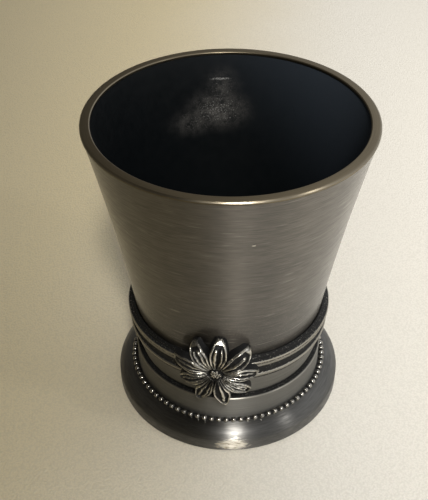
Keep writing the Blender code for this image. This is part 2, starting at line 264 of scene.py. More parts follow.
    def patch(self, patch: Patch) -> Socket:
        """How far a point lies from a patch's middle.

        Args:
            patch: The patch.

        Returns:
            The distance, 0 in the middle and 1 at the edge.
        """
        middle, reach = (tuple(size * MM for size in sizes) for sizes in (patch.middle, patch.reach))
        off = self.gauge(Gauge.OFFSET, self.place, middle)
        return self.gauge(Gauge.LENGTH, self.gauge(Gauge.SHARE, off, reach))

    def bump(self, height: Feed, depth: float, strength: float = 1.0) -> None:
        """Gives the surface a fine relief of a depth in millimetres."""
        feeds = {"Height": height, "Distance": depth * MM, "Strength": strength}
        self.dress({"Normal": self.node("ShaderNodeBump", feeds).outputs[0]})


@dataclass(frozen=True)
class ScuffsAndPaintedHighlight:
    """Scuffs along a piece's lower edge, with a spot there whose raised wear is a painted highlight."""

    rough: float  # Roughness of the scuffed metal
    edge: Span  # Heights between which the scuffs end, in millimetres
    spot: Patch  # The spot of painted highlight
    bare: float  # How much the wear is raised there, which paints the highlight
    stroke: float = 2.0  # Length of a scuff, in millimetres
    pitch: float = 0.5  # Distance between scuffs, in millimetres
    grain: Grain = Grain(rough=0.6)  # The scuffs' grain
    torn: Span = (1.5, 0.9)  # Distance off the spot's middle, with the grain, between which the spot ends
    deep: Span = (0.35, 0.6)  # Grain between which a scuff starts and is full


@dataclass(frozen=True)
class WornPewter:
    """Pewter with turning marks, dark where it was blackened and bright where it is rubbed."""

    name: str
    metal: Colour  # Colour of the rubbed metal
    shade: Colour  # Colour of the same metal in its duller streaks
    oxide: Colour = (0.011, 0.011, 0.0107)  # Colour of the blackening
    buffed: Colour = (0.6, 0.565, 0.49)  # Colour of edges that are rubbed until they shine
    lay: Lay = Lay.UPRIGHT  # How the turning marks run
    gloss: Span = (0.3, 0.42)  # Roughness of the brightest and the dullest metal
    matt: float = 0.55  # Roughness of the blackening
    stroke: float = 14.0  # Length of a turning mark, in millimetres
    pitch: float = 0.16  # Distance between turning marks, in millimetres
    cut: float = 0.004  # Depth of the turning marks, in millimetres
    fleck: float = 0.5  # How far bright flecks break into the blackening
    drawn: float = 0.0  # How far the marks draw out a highlight
    lacquer: float = 0.0  # How much clear lacquer lies on the metal
    shine: float = 0.19  # Roughness of the edges that are rubbed until they shine
    # A small bright nick and the dark pit above it, if there are any
    nick: tuple[Patch, Patch] | None = None
    scuffs_and_highlight: ScuffsAndPaintedHighlight | None = None  # The scuffs along its lower edge and its spot of painted highlight, if there are any
    hairs: float = 0.0  # How bright the stray hairline scratches along the turning marks are, from 0 to 1
    brush: Grain = Grain(detail=3.0, rough=0.6)  # Grain of the turning marks
    band: Grain = Grain()  # Grain of the broad bands among them
    band_size: Span = (4.0, 5.0)  # How many times longer and wider than a mark such a band is
    stray: Grain = Grain(detail=1.0)  # Grain of the hairline scratches
    stray_size: Span = (1.6, 1.4)  # How many times longer and wider than a mark such a scratch is
    stray_span: Span = (0.64, 0.8)  # Grain between which a scratch starts and is full
    cloud: Grain = Grain(55.0, 3.0, 0.55)  # Grain of the metal's clouding
    clouding: float = 0.2  # How much the clouding, and the bands, count among the streaks
    pits: Grain = Grain(1900.0, rough=0.6)  # Grain of the pits in the blackening
    pit_span: Span = (0.5, 0.72)  # Grain between which a fleck starts and is full
    pit_dark: float = -0.15  # How much darker it is between flecks, as a share of them
    pit_depth: float = 3.0  # How much deeper a pit is than a turning mark
    tones: Span = (0.3, 0.7)  # Streaks between which the metal goes from dull to bright
    bare: Span = (0.25, 0.75)  # Wear between which the blackening gives way to metal
    metallic: Span = (0.2, 0.55)  # Wear between which the surface reflects as a metal
    rubbed: Span = (1.05, 1.5)  # Wear between which the metal comes to shine
    scar: Span = (1.0, 0.3)  # Distance off a nick's or a pit's middle between which it ends
    scar_depth: float = 0.5  # How dark the pit by the nick is
    level: float = 0.25  # Strength of the reflection from the blackening
    film: float = 0.25  # Roughness of the lacquer
    grind: float = 0.25  # Turn of the drawn highlight, as a share of a round

    def marks(self, bench: NodeBench, grain: Grain, size: Span = (1.0, 1.0)) -> Socket:
        """Grain along the turning marks, a number of times longer and wider than one of them."""
        return bench.strokes(self.lay, size[0] * self.stroke, size[1] * self.pitch, grain)

    def make(self) -> bpy.types.Material:
        """Builds the material.

        Returns:
            The material.
        """
        bench = NodeBench(bpy.data.materials.new(self.name))
        brush = self.marks(bench, self.brush)
        pits = bench.grain(self.pits)
        wear = bench.wear()
        if self.nick:
            scar, pit = (bench.patch(patch) for patch in self.nick)
            wear = bench.work(Sum.ADD, wear, bench.ease(scar, *self.scar))
            wear = bench.work(Sum.LESS, wear, bench.ease(pit, *self.scar, 0.0, self.scar_depth))
        scuffs_and_highlight = self.scuffs_and_highlight
        if scuffs_and_highlight:
            ragged = bench.strokes(self.lay, scuffs_and_highlight.stroke, scuffs_and_highlight.pitch, scuffs_and_highlight.grain)
            # Painted highlight: the wear is raised over a ragged spot, so the metal shines there.
            spot = bench.work(Sum.ADD, bench.patch(scuffs_and_highlight.spot), ragged)
            wear = bench.work(Sum.ADD, wear, bench.ease(spot, *scuffs_and_highlight.torn, 0.0, scuffs_and_highlight.bare))
        flecks = bench.ease(pits, *self.pit_span, self.pit_dark * self.fleck, self.fleck)
        rubbed = bench.work(Sum.ADD, wear, flecks)
        bright = bench.ease(rubbed, *self.bare)
        banded = bench.between(self.clouding, brush, self.marks(bench, self.band, self.band_size))
        tone = bench.ease(bench.between(self.clouding, banded, bench.grain(self.cloud)), *self.tones)
        buff = bench.ease(wear, *self.rubbed)
        if self.hairs:
            stray = self.marks(bench, self.stray, self.stray_size)
            buff = bench.work(Sum.MOST, buff, bench.ease(stray, *self.stray_span, 0.0, self.hairs))
        satin = bench.mix(bright, self.oxide, bench.mix(tone, self.shade, self.metal))
        polish = bench.between(buff, bench.between(tone, self.gloss[1], self.gloss[0]), self.shine)
        if scuffs_and_highlight:
            low, high = (height * MM for height in scuffs_and_highlight.edge)
            edge = bench.ease(bench.axes()[2], low, high, 1.0, 0.0)
            scratched = bench.work(Sum.TIMES, edge, bench.ease(ragged, *scuffs_and_highlight.deep))
            polish = bench.between(scratched, polish, scuffs_and_highlight.rough)
        feeds = {
            "Base Color": bench.mix(buff, satin, self.buffed),
            "Roughness": bench.between(bright, self.matt, polish),
            "Metallic": bench.ease(rubbed, *self.metallic),
            "Specular IOR Level": self.level,
            "Coat Weight": self.lacquer,
            "Coat Roughness": self.film,
        }
        if self.drawn:
            tangent = bench.node("ShaderNodeTangent", direction_type="RADIAL", axis="Z")
            feeds |= {"Anisotropic": self.drawn, "Anisotropic Rotation": self.grind}
            feeds["Tangent"] = tangent.outputs[0]
        bench.dress(feeds)
        hollows = bench.work(Sum.TIMES, bench.work(Sum.LESS, 1.0, bright), pits, self.pit_depth)
        bench.bump(bench.work(Sum.ADD, brush, hollows), self.cut)
        return bench.owner


@dataclass(frozen=True)
class LinerCoat:
    """Black satin coat with a dusty patch, specks and a short bright streak on its far side, and painted
    light that turns it lighter and bluer towards the right and the top.
    """

    name: str
    coat: Colour = (0.0034, 0.0046, 0.0054)  # Colour of the coat
    painted_light_tone: Colour = (0.043, 0.054, 0.07)  # Painted light: its colour towards the right and the top, lighter and bluer than the coat
    dust: Colour = (0.115, 0.11, 0.102)  # Colour of the dust on it
    chalk: Colour = (0.3, 0.3, 0.29)  # Colour of the specks and the bright streak
    heart: Patch = Patch((-7.2, 33.2, 80.6), (10.8, 9.0, 7.2))  # Where the dust lies thickest
    heart_span: Span = (1.25, 0.1)  # Distance off its middle between which it ends
    # Where the dust runs out, and how thick it is there
    skirts: tuple[tuple[Patch, float], ...] = (
        (Patch((-14.5, 30.9, 77.4), (9.5, 9.0, 5.2)), 0.65),
        (Patch((-6.0, 35.3, 87.0), (6.5, 6.0, 8.0)), 0.6),
    )
    skirt_span: Span = (1.2, 0.0)  # Distance off their middles between which they end
    bright_streak: Patch = Patch((-7.0, 36.2, 90.2), (4.2, 3.0, 0.5))  # A short bright streak high on the far side
    bright_streak_span: Span = (1.0, 0.2)  # Distance off its middle between which it ends
    fine: Grain = Grain(2400.0, 3.0, 0.7)  # Grain of the specks
    cloud: Grain = Grain(420.0, 4.0, 0.7)  # Grain of the smears
    smears: float = 0.4  # How much the specks count among the smears
    # Grain between which the dust is torn, and how much is left there and elsewhere
    torn: Ramp = (0.34, 0.66, 0.15, 1.0)
    film: float = 0.75  # How much of the coat the dust hides
    crowd: float = 0.12  # How much the dust helps a speck to show
    speck_span: Span = (0.68, 0.76)  # Grain between which a speck starts and is full
    specks: Span = (0.03, 0.7)  # How bright specks are off the dust and on it
    broken: Span = (0.4, 0.6)  # Grain between which the bright streak is broken
    climb: float = 0.9  # How much a millimetre up counts towards the painted light beside one across
    painted_light_span: Span = (47.0, 132.0)  # Where the painted light starts and where it is full, in millimetres
    satin: Ramp = (0.3, 0.7, 0.38, 0.5)  # Smears between which the coat dulls, and its roughness there
    dull: float = 0.85  # Roughness of the dust
    level: float = 0.25  # Strength of the coat's reflection
    smear_depth: float = 2.0  # How much deeper a smear is than a speck
    depth: float = 0.008  # Depth of a speck, in millimetres

    def make(self) -> bpy.types.Material:
        """Builds the material.

        Returns:
            The material.
        """
        bench = NodeBench(bpy.data.materials.new(self.name))
        fine = bench.grain(self.fine)
        cloud = bench.grain(self.cloud)
        cover = bench.ease(bench.patch(self.heart), *self.heart_span)
        for patch, share in self.skirts:
            cover = bench.work(Sum.MOST, cover, bench.ease(bench.patch(patch), *self.skirt_span, 0.0, share))
        torn = bench.ease(bench.between(self.smears, cloud, fine), *self.torn)
        film = bench.work(Sum.TIMES, cover, torn, self.film)
        crowded = bench.work(Sum.ADD, fine, bench.work(Sum.TIMES, cover, self.crowd))
        specks = bench.ease(crowded, *self.speck_span)
        bits = bench.work(Sum.TIMES, specks, bench.between(cover, *self.specks))
        line = bench.ease(bench.patch(self.bright_streak), *self.bright_streak_span)
        marks = bench.work(Sum.MOST, bits, bench.work(Sum.TIMES, line, bench.ease(fine, *self.broken)))
        # Painted light: the coat turns lighter and bluer towards the right and the top.
        across, _, up = bench.axes()
        side = bench.work(Sum.ADD, across, bench.work(Sum.TIMES, up, self.climb))
        painted_light = bench.ease(side, *(place * MM for place in self.painted_light_span))
        tint = bench.mix(bench.work(Sum.TIMES, painted_light, painted_light), self.coat, self.painted_light_tone)
        dusty = bench.work(Sum.ADD, film, marks)
        bench.dress({
            "Base Color": bench.mix(marks, bench.mix(film, tint, self.dust), self.chalk),
            "Roughness": bench.between(dusty, bench.ease(cloud, *self.satin), self.dull),
            "Specular IOR Level": self.level,
        })
        bench.bump(bench.work(Sum.ADD, fine, bench.work(Sum.TIMES, cloud, self.smear_depth)), self.depth)
        return bench.owner


@dataclass(frozen=True)
class PadRubber:
    """Dull black rubber with a moulded pebble."""

    name: str
    rubber: Colour = (0.018, 0.018, 0.019)  # Its colour
    scuffed: Colour = (0.05, 0.049, 0.047)  # Its colour where it is scuffed
    pebbles: float = 900.0  # Pebbles to a metre
    depth: float = 0.12  # Depth of the pebble, in millimetres
    scuff: Grain = Grain(160.0, 4.0, 0.65)  # Grain of the scuffs
    scuff_span: Span = (0.45, 0.75)  # Grain between which a scuff starts and is full
    dull: Ramp = (0.3, 0.7, 0.75, 0.95)  # Grain between which the rubber dulls, and its roughness there

    def make(self) -> bpy.types.Material:
        """Builds the material.

        Returns:
            The material.
        """
        bench = NodeBench(bpy.data.materials.new(self.name))
        scuff = bench.grain(self.scuff)
        bench.dress({
            "Base Color": bench.mix(bench.ease(scuff, *self.scuff_span), self.rubber, self.scuffed),
            "Roughness": bench.ease(scuff, *self.dull),
        })
        bench.bump(bench.cells(self.pebbles), self.depth)
        return bench.owner


@dataclass(frozen=True)
class TableTop:
    """Pale table covering with a fine pressed grain, painted darker and warmer towards the left as shade."""

    name: str
    pale: Colour = (0.828, 0.796, 0.722)  # Its colour on the lit side
    painted_shade_tone: Colour = (0.78, 0.67, 0.43)  # Its colour on the dim left side: painted shade, darker and warmer than the covering's own colour
    seams: Colour = (0.4, 0.38, 0.32)  # Its colour between the grains
    pebbles: float = 1600.0  # Pressed grains to a metre
    # Distance off a grain between which its seam starts and is full, and the seam's share there
    seam: Ramp = (0.25, 0.8, 0.0, 0.18)
    depth: float = 0.2  # Depth of the pressed grain, in millimetres
    strength: float = 0.8  # How much of that shows
    cloud: Grain = Grain(14.0, 3.0, 0.5)  # Grain of the clouding
    drift: float = 0.03  # How far the clouding shifts the colour, in metres
    turn: Span = (-0.09, 0.05)  # Where the painted shade on the left gives way to the covering's own colour, in metres to the right
    # Clouding between which the covering dulls, and its roughness there
    satin: Ramp = (0.3, 0.7, 0.5, 0.62)
    level: float = 0.3  # Strength of its reflection

    def make(self) -> bpy.types.Material:
        """Builds the material.

        Returns:
            The material.
        """
        bench = NodeBench(bpy.data.materials.new(self.name))
        pebble = bench.cells(self.pebbles)
        cloud = bench.grain(self.cloud)
        shift = bench.work(Sum.TIMES, bench.work(Sum.LESS, cloud, 0.5), self.drift)
        # Painted shade: the covering turns darker and warmer towards the left.
        side = bench.ease(bench.work(Sum.ADD, bench.axes()[0], shift), *self.turn)
        cover = bench.mix(side, self.painted_shade_tone, self.pale)
        bench.dress({
            "Base Color": bench.mix(bench.ease(pebble, *self.seam), cover, self.seams),
            "Roughness": bench.ease(cloud, *self.satin),
            "Specular IOR Level": self.level,
        })
        bench.bump(pebble, self.depth, self.strength)
        return bench.owner


@dataclass(frozen=True)
class Corner:
    """A corner of a turned profile."""

    radius: float  # Distance from the axis, in millimetres
    height: float  # Height above the table, in millimetres
    ease: float = 0.0  # How far back along its sides the corner is rounded, in millimetres
    wear: float = 1.0  # How rubbed the metal is there: 0 is black, 1 is bare and 1.5 shines


def cut(radius: float, height: float, rows: Iterable[Row]) -> list[Corner]:
    """Corners set off from one point, by rows of how far inside and below it, rounding and wear."""
    return [Corner(radius - inside, height - below, ease, wear) for inside, below, ease, wear in rows]


def trace(form: bmesh.types.BMesh, points: Iterable[Span], closed: bool) -> list[bmesh.types.BMVert]:
    """Draws a profile as a line of edges.

    Args:
        form: The form to draw in.
        points: Radius and height of each point, in millimetres.
        closed: Whether the line joins up.

    Returns:
        The line's vertices.
    """
    line = [form.verts.new((radius * MM, 0.0, height * MM)) for radius, height in points]
    for pair in zip(line, [*line[1:], line[0]] if closed else line[1:]):
        form.edges.new(pair)
    return line


def spin_round(form: bmesh.types.BMesh, steps: int) -> None:
    """Spins all that a form holds once round the beaker's axis.

    Args:
        form: The form.
        steps: Facets round the axis.
    """
    bmesh.ops.spin(
        form,
        geom=form.verts[:] + form.edges[:],
        cent=(0, 0, 0),
        axis=(0, 0, 1),
        angle=math.tau,
        steps=steps,
        use_merge=True,
    )


def face_outwards(form: bmesh.types.BMesh) -> bmesh.types.BMesh:
    """Turns a closed form's faces outwards.

    Args:
        form: The form.

    Returns:
        The same form.
    """
    form.normal_update()
    bmesh.ops.recalc_face_normals(form, faces=form.faces)
    return form


@dataclass(frozen=True)
class Turning:
    """A profile that is turned about the beaker's axis."""

    corners: Sequence[Corner]  # The profile's corners in order
    closed: bool = True  # Whether the profile joins up, or else starts and ends on the axis
    steps: int = 288  # Facets round the axis

    def wear_at(self, radius: float, height: float) -> float:
        """Wear at the profile's nearest point.

        Args:
            radius: Distance from the axis, in metres.
            height: Height, in metres.

        Returns:
            The wear, between that of the two corners on either side.
        """
        point = Vector((radius / MM, height / MM))
        best = (math.inf, 1.0)
        ends = [*self.corners[1:], self.corners[0]] if self.closed else self.corners[1:]
        for first, last in zip(self.corners, ends):
            start = Vector((first.radius, first.height))
            run = Vector((last.radius, last.height)) - start
            share = min(1.0, max(0.0, (point - start).dot(run) / max(run.length_squared, WELD)))
            off = (point - start - run * share).length
            best = min(best, (off, first.wear + (last.wear - first.wear) * share))
        return best[1]

    def spin(self) -> bmesh.types.BMesh:
        """Turns the profile.

        Returns:
            The closed form, with its wear on each vertex.
        """
        form = bmesh.new()
        line = trace(form, [(corner.radius, corner.height) for corner in self.corners], self.closed)
        for ease in sorted({corner.ease for corner in self.corners if corner.ease}):
            bmesh.ops.bevel(
                form,
                geom=[vert for vert, corner in zip(line, self.corners) if corner.ease == ease],
                offset=ease * MM,
                offset_type="OFFSET",
                segments=ROUNDING,
                profile=0.5,
                affect="VERTICES",
                clamp_overlap=True,
                material=-1,
            )
        spin_round(form, self.steps)
        bmesh.ops.remove_doubles(form, verts=form.verts, dist=WELD)
        face_outwards(form)
        layer = form.verts.layers.float.new(WEAR)
        known: dict[Span, float] = {}
        for vert in form.verts:
            key = (round(vert.co.xy.length, DECIMALS), round(vert.co.z, DECIMALS))
            if key not in known:
                known[key] = self.wear_at(*key)
            vert[layer] = known[key]
        return form


def put(name: str, data: bpy.types.ID) -> bpy.types.Object:
    """Puts a mesh, a light or a camera in the scene.

    Args:
        name: The object's name.
        data: What it shows.

    Returns:
        The object.
    """
    made = bpy.data.objects.new(name, data)
    bpy.context.scene.collection.objects.link(made)
    return made


def show(
    name: str, form: bmesh.types.BMesh, material: bpy.types.Material, node: str
) -> bpy.types.Object:
    """Puts a finished form in the scene in place of a CAD node.

    Args:
        name: The piece's name.
        form: Its form, which is freed.
        material: Its finish.
        node: The CAD node that it stands for.

    Returns:
        The piece.
    """
    mesh = bpy.data.meshes.new(name)
    form.to_mesh(mesh)
    form.free()
    mesh.shade_smooth()
    mesh.set_sharp_from_angle(angle=SHARP)
    mesh.materials.append(material)
    piece = put(name, mesh)
    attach(piece, BODY)
    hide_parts(node)
    LOG.info("%s stands for %s with %d faces", name, node, len(mesh.polygons))
    return piece


@dataclass(frozen=True)
class Cup:
    """The flared cup: a spun pewter wall, its black liner and the ring that closes the two at the mouth."""

    height: float = 98.5  # Height of the mouth
    waist_height: float = 35.0  # Height at which the wall leaves the collar
    waist: float = 29.7  # Outer radius of the wall there
    mouth: float = 40.96  # Outer radius of the wall at the mouth
    bow: float = 0.67  # How far the wall bows in halfway up
    base: float = 22.0  # Height of the underside of the cup
    wall: float = 1.1  # Thickness of the wall
    liner_gap: float = 0.3  # Room between the wall and the liner
    liner: float = 1.0  # Thickness of the liner
    corner: float = 4.5  # Outer radius of the bend at the base
    ring_radius: float = 41.0  # Outer radius of the ring
    ring_width: float = 2.85  # Width of the ring
    ring_depth: float = 0.8  # Thickness of the ring
    chamfer: float = 0.45  # Width of the chamfer round the ring's outer edge
    lip: float = 0.25  # Width of the small chamfer round its bore
    lip_drop: float = 0.2  # Depth of that chamfer
    seam: float = 0.08  # Height of the seam under the ring
    rungs: int = 28  # Steps up the wall
    # Wear of the wall in the crevice that it stands in, what it gains just above that, and what it gains
    # higher up
    wears: Point = (0.3, 0.22, 0.3)
    clear: Span = (-0.6, 0.9)  # Heights off the waist between which the crevice ends
    lightening: Span = (1.0, 40.0)  # Heights off the waist over which the wall grows lighter going up

    def radius_at(self, height: float) -> float:
        """Outer radius of the wall at a height."""
        share = (height - self.waist_height) / (self.height - self.waist_height)
        return self.waist + share * (self.mouth - self.waist) - 4 * self.bow * share * (1 - share)

    def line(self, inset: float, low: float, high: float, wear: Callable[[float], float]) -> list[Corner]:
        """Corners up the wall, inset from its outer face, from a low height to a high one."""
        heights = [low + (high - low) * rung / self.rungs for rung in range(self.rungs + 1)]
        return [Corner(self.radius_at(height) - inset, height, wear=wear(height)) for height in heights]

    def shell(self, inset: float, thickness: float, top: float, wear: Callable[[float], float]) -> Turning:
        """A cup that follows the wall.

        Args:
            inset: How far inside the wall's outer face it lies.
            thickness: Its thickness.
            top: Height of its edge.
            wear: Wear at a height.

        Returns:
            The profile, from the axis round to the axis.
        """
        floor = self.base + inset
        bend = self.base + self.corner
        outer = self.line(inset, bend, top, wear)
        inner = self.line(inset + thickness, bend, top, wear)
        corners = [
            Corner(0.0, floor + thickness),
            Corner(inner[0].radius, floor + thickness, self.corner - inset - thickness),
            *inner,
            *outer[::-1],
            Corner(outer[0].radius, floor, self.corner - inset),
            Corner(0.0, floor),
        ]
        return Turning(corners, closed=False)

    def wall_wear_and_shade(self, height: float) -> float:
        """Wear of the wall, which darkens downwards and towards the crevice that it stands in; the black in
        that crevice is blackening and painted shade.

        Args:
            height: The height.

        Returns:
            The wear there.
        """
        # The black in the crevice is partly painted shade; above it the wall lightens going up.
        dark, lift_above_crevice, rubbed = self.wears
        for span, wear in ((self.clear, lift_above_crevice), (self.lightening, rubbed)):
            dark += wear * smooth(height, *(self.waist_height + off for off in span))
        return dark

    def build(self) -> None:
        """Builds the wall, the liner and the ring."""
        brushed = WornPewter(
            "brushed_pewter",
            (0.156, 0.1405, 0.119),
            (0.079, 0.0707, 0.0605),
            gloss=(0.38, 0.5),
            stroke=5.0,
            pitch=0.34,
            cut=0.014,
            fleck=0.1,
            hairs=0.25,
            nick=(
                Patch((10.0, -36.2, 82.5), (0.8, 0.8, 0.3)),
                Patch((10.0, -36.2, 82.95), (0.5, 0.5, 0.25)),
            ),
            drawn=0.95,
            lacquer=1.0,
        )
        satin = WornPewter(
            "ring_pewter",
            (0.228, 0.19, 0.126),
            (0.169, 0.141, 0.094),
            lay=Lay.FLAT,
            gloss=(0.28, 0.38),
            fleck=0.2,
            drawn=0.4,
        )
        under = self.height - self.ring_depth
        wall_top = under - self.seam
        wall = self.shell(0.0, self.wall, wall_top, self.wall_wear_and_shade)
        show("cup_wall", wall.spin(), brushed.make(), "outer_cup")
        lining = self.shell(self.wall + self.liner_gap, self.liner, wall_top, lambda height: 1.0)
        show("cup_liner", lining.spin(), LinerCoat("black_coat").make(), "inner_liner")
        inner = self.ring_radius - self.ring_width
        profile = [
            Corner(inner, under),
            Corner(inner, self.height - self.lip_drop, ease=0.08, wear=1.1),
            Corner(inner + self.lip, self.height, ease=0.1, wear=1.15),
            Corner(inner + 2 * self.lip, self.height),
            Corner(self.ring_radius - self.chamfer, self.height, ease=0.12, wear=1.1),
            Corner(self.ring_radius, self.height - self.chamfer, ease=0.12, wear=1.2),
            Corner(self.ring_radius, under, wear=0.4),
        ]
        show("mouth_ring", Turning(profile).spin(), satin.make(), "rim_ring")


@dataclass(frozen=True)
class RibbedCollar:
    """The collar that the cup stands in, with its moulded wires."""

    top: float = 35.0  # Height of the collar's edge
    ledge: float = 0.4  # How far the ledge there falls to its outer edge
    bore: float = 30.0  # Inner radius at that edge
    flare: float = 0.133  # How much wider the bore gets for each millimetre up
    channel: float = 31.0  # Radius of the channel between the wires
    hollow: Span = (0.1, 0.25)  # How far inside that radius the channel lies at its edges and in its middle
    groove: float = 0.4  # Depth of the grooves that the wires lie in
    slack: float = 0.06  # Room above and below each wire
    bed: float = 0.3  # Room behind each wire
    upper: Span = (31.4, 34.0)  # Lowest and highest edge of the upper wire
    upper_radius: float = 32.0  # How far out the upper wire stands
    # Its face, set off from that radius and its highest edge
    upper_face: tuple[Row, ...] = (
        (0.3, 0.3, 0.0, 0.2),
        (0.12, 0.38, 0.0, 0.9),
        (0.0, 0.55, 0.14, 1.4),
        (0.0, 0.75, 0.0, 0.55),
        (0.0, 1.2, 0.0, 0.5),
        (0.0, 1.4, 0.12, 1.1),
        (0.45, 1.62, 0.1, 0.0),
        (0.2, 1.8, 0.12, 1.2),
    )
    # Lower corners of its reed, set off from that radius and its lowest edge
    reed: tuple[Row, ...] = ((0.1, -0.4, 0.25, 0.6), (0.4, 0.0, 0.2, 0.1))
    lower: Span = (26.8, 28.3)  # Lowest and highest edge of the lower wire
    lower_radius: float = 31.6  # How far out the lower wire stands
    # Its face, set off from that radius and its middle
    lower_face: tuple[Row, ...] = ((0.12, -0.4, 0.2, 1.35), (0.0, 0.1, 0.2, 0.7))
    # Its lowest corner, set off from that radius and its lowest edge
    lower_foot: tuple[Row, ...] = ((0.3, -0.1, 0.15, 0.0),)
    # How far beyond the channel, and below its own top, the first corner of each wire lies
    shoulders: tuple[Row, Row] = ((-0.1, 0.05, 0.0, 0.16), (-0.1, 0.12, 0.0, 0.1))
    band: Span = (17.3, 26.5)  # Lowest and highest edge of the band
    band_radius: float = 31.1  # Radius of the band at its top
    band_foot: float = 28.6  # Radius of the band at its bottom
    # How far in and along from the band's top and its bottom the metal is bare
    band_edges: tuple[Span, Span] = ((0.3, 1.0), (0.3, 1.1))
    seat: float = 21.7  # Height of the floor that the cup stands on
    floor: float = 2.0  # Thickness of that floor
    spigot: float = 25.93  # Outer radius of the spigot below
    spigot_wall: float = 3.0  # Thickness of the spigot
    spigot_depth: float = 3.0  # How far the spigot reaches below the band

    def collar(self) -> Turning:
        """The collar's profile: ledge, grooves, channel, tapered band and spigot.

        Returns:
            The profile, from the axis round to the axis.
        """
        deep = self.channel - self.groove
        side, middle = (self.channel - inside for inside in self.hollow)
        inner = self.spigot - self.spigot_wall
        foot = self.band[0] - self.spigot_depth
        under = self.seat - self.floor
        narrow = self.bore - self.flare * (self.top - self.seat)
        over, below = self.upper[1] + self.slack, self.upper[0] - self.slack
        beside = self.lower[1] + self.slack
        (top_in, top_along), (foot_in, foot_along) = self.band_edges
        corners = [
            Corner(0.0, self.seat),
            Corner(narrow, self.seat),
            Corner(self.bore, self.top, ease=0.08, wear=0.12),
            Corner(self.channel, self.top - self.ledge, ease=0.1, wear=0.24),
            Corner(self.channel, over, wear=0.0),
            Corner(deep, over, wear=0.0),
            Corner(deep, below, wear=0.0),
            Corner(side, below, wear=0.0),
            Corner(middle, (self.upper[0] + self.lower[1]) / 2, ease=0.6, wear=0.16),
            Corner(side, beside, wear=0.0),
            Corner(deep, beside, wear=0.0),
            Corner(deep, self.band[1], wear=0.0),
            Corner(self.band_radius, self.band[1], ease=0.15, wear=0.5),
            Corner(self.band_radius - top_in, self.band[1] - top_along, wear=0.95),
            Corner(self.band_foot + foot_in, self.band[0] + foot_along, wear=0.85),
            Corner(self.band_foot, self.band[0], ease=0.1, wear=0.0),
            Corner(self.spigot, self.band[0]),
            Corner(self.spigot, foot, ease=0.3),
            Corner(inner, foot, ease=0.3),
            Corner(inner, under),
            Corner(0.0, under),
        ]
        return Turning(corners, closed=False)

    def wire_back(self, edges: Span, shoulder: Row) -> list[Corner]:
        """The black back of a wire between its lowest and highest edge, and its shoulder."""
        back = self.channel - self.groove + self.bed
        return [*(Corner(back, edge, wear=0.0) for edge in edges), *cut(self.channel, edges[1], [shoulder])]

    def upper_wire(self) -> Turning:
        """The upper wire's profile: dark sloped top, bright fillet, fine cut and reed.

        Returns:
            The closed profile.
        """
        low, high = self.upper
        face = cut(self.upper_radius, high, self.upper_face)
        reed = cut(self.upper_radius, low, self.reed)
        return Turning([*self.wire_back(self.upper, self.shoulders[0]), *face, *reed])

    def lower_wire(self) -> Turning:
        """The lower wire's profile, half round with dark edges.

        Returns:
            The closed profile.
        """
        low, high = self.lower
        face = cut(self.lower_radius, (low + high) / 2, self.lower_face)
        foot = cut(self.lower_radius, low, self.lower_foot)
        return Turning([*self.wire_back(self.lower, self.shoulders[1]), *face, *foot])

    def build(self) -> None:
        """Builds the collar and its two wires."""
        antique = WornPewter(
            "antique_pewter",
            (0.23, 0.224, 0.205),
            (0.17, 0.166, 0.151),
            gloss=(0.42, 0.52),
            fleck=0.55,
            drawn=0.85,
        ).make()
        wire = WornPewter(
            "wire_pewter",
            (0.34, 0.323, 0.28),
            (0.24, 0.228, 0.198),
            gloss=(0.26, 0.38),
        ).make()
        show("socket_collar", self.collar().spin(), antique, "band_collar")
        show("upper_wire", self.upper_wire().spin(), wire, "upper_rib")
        show("lower_wire", self.lower_wire().spin(), wire, "lower_rib")


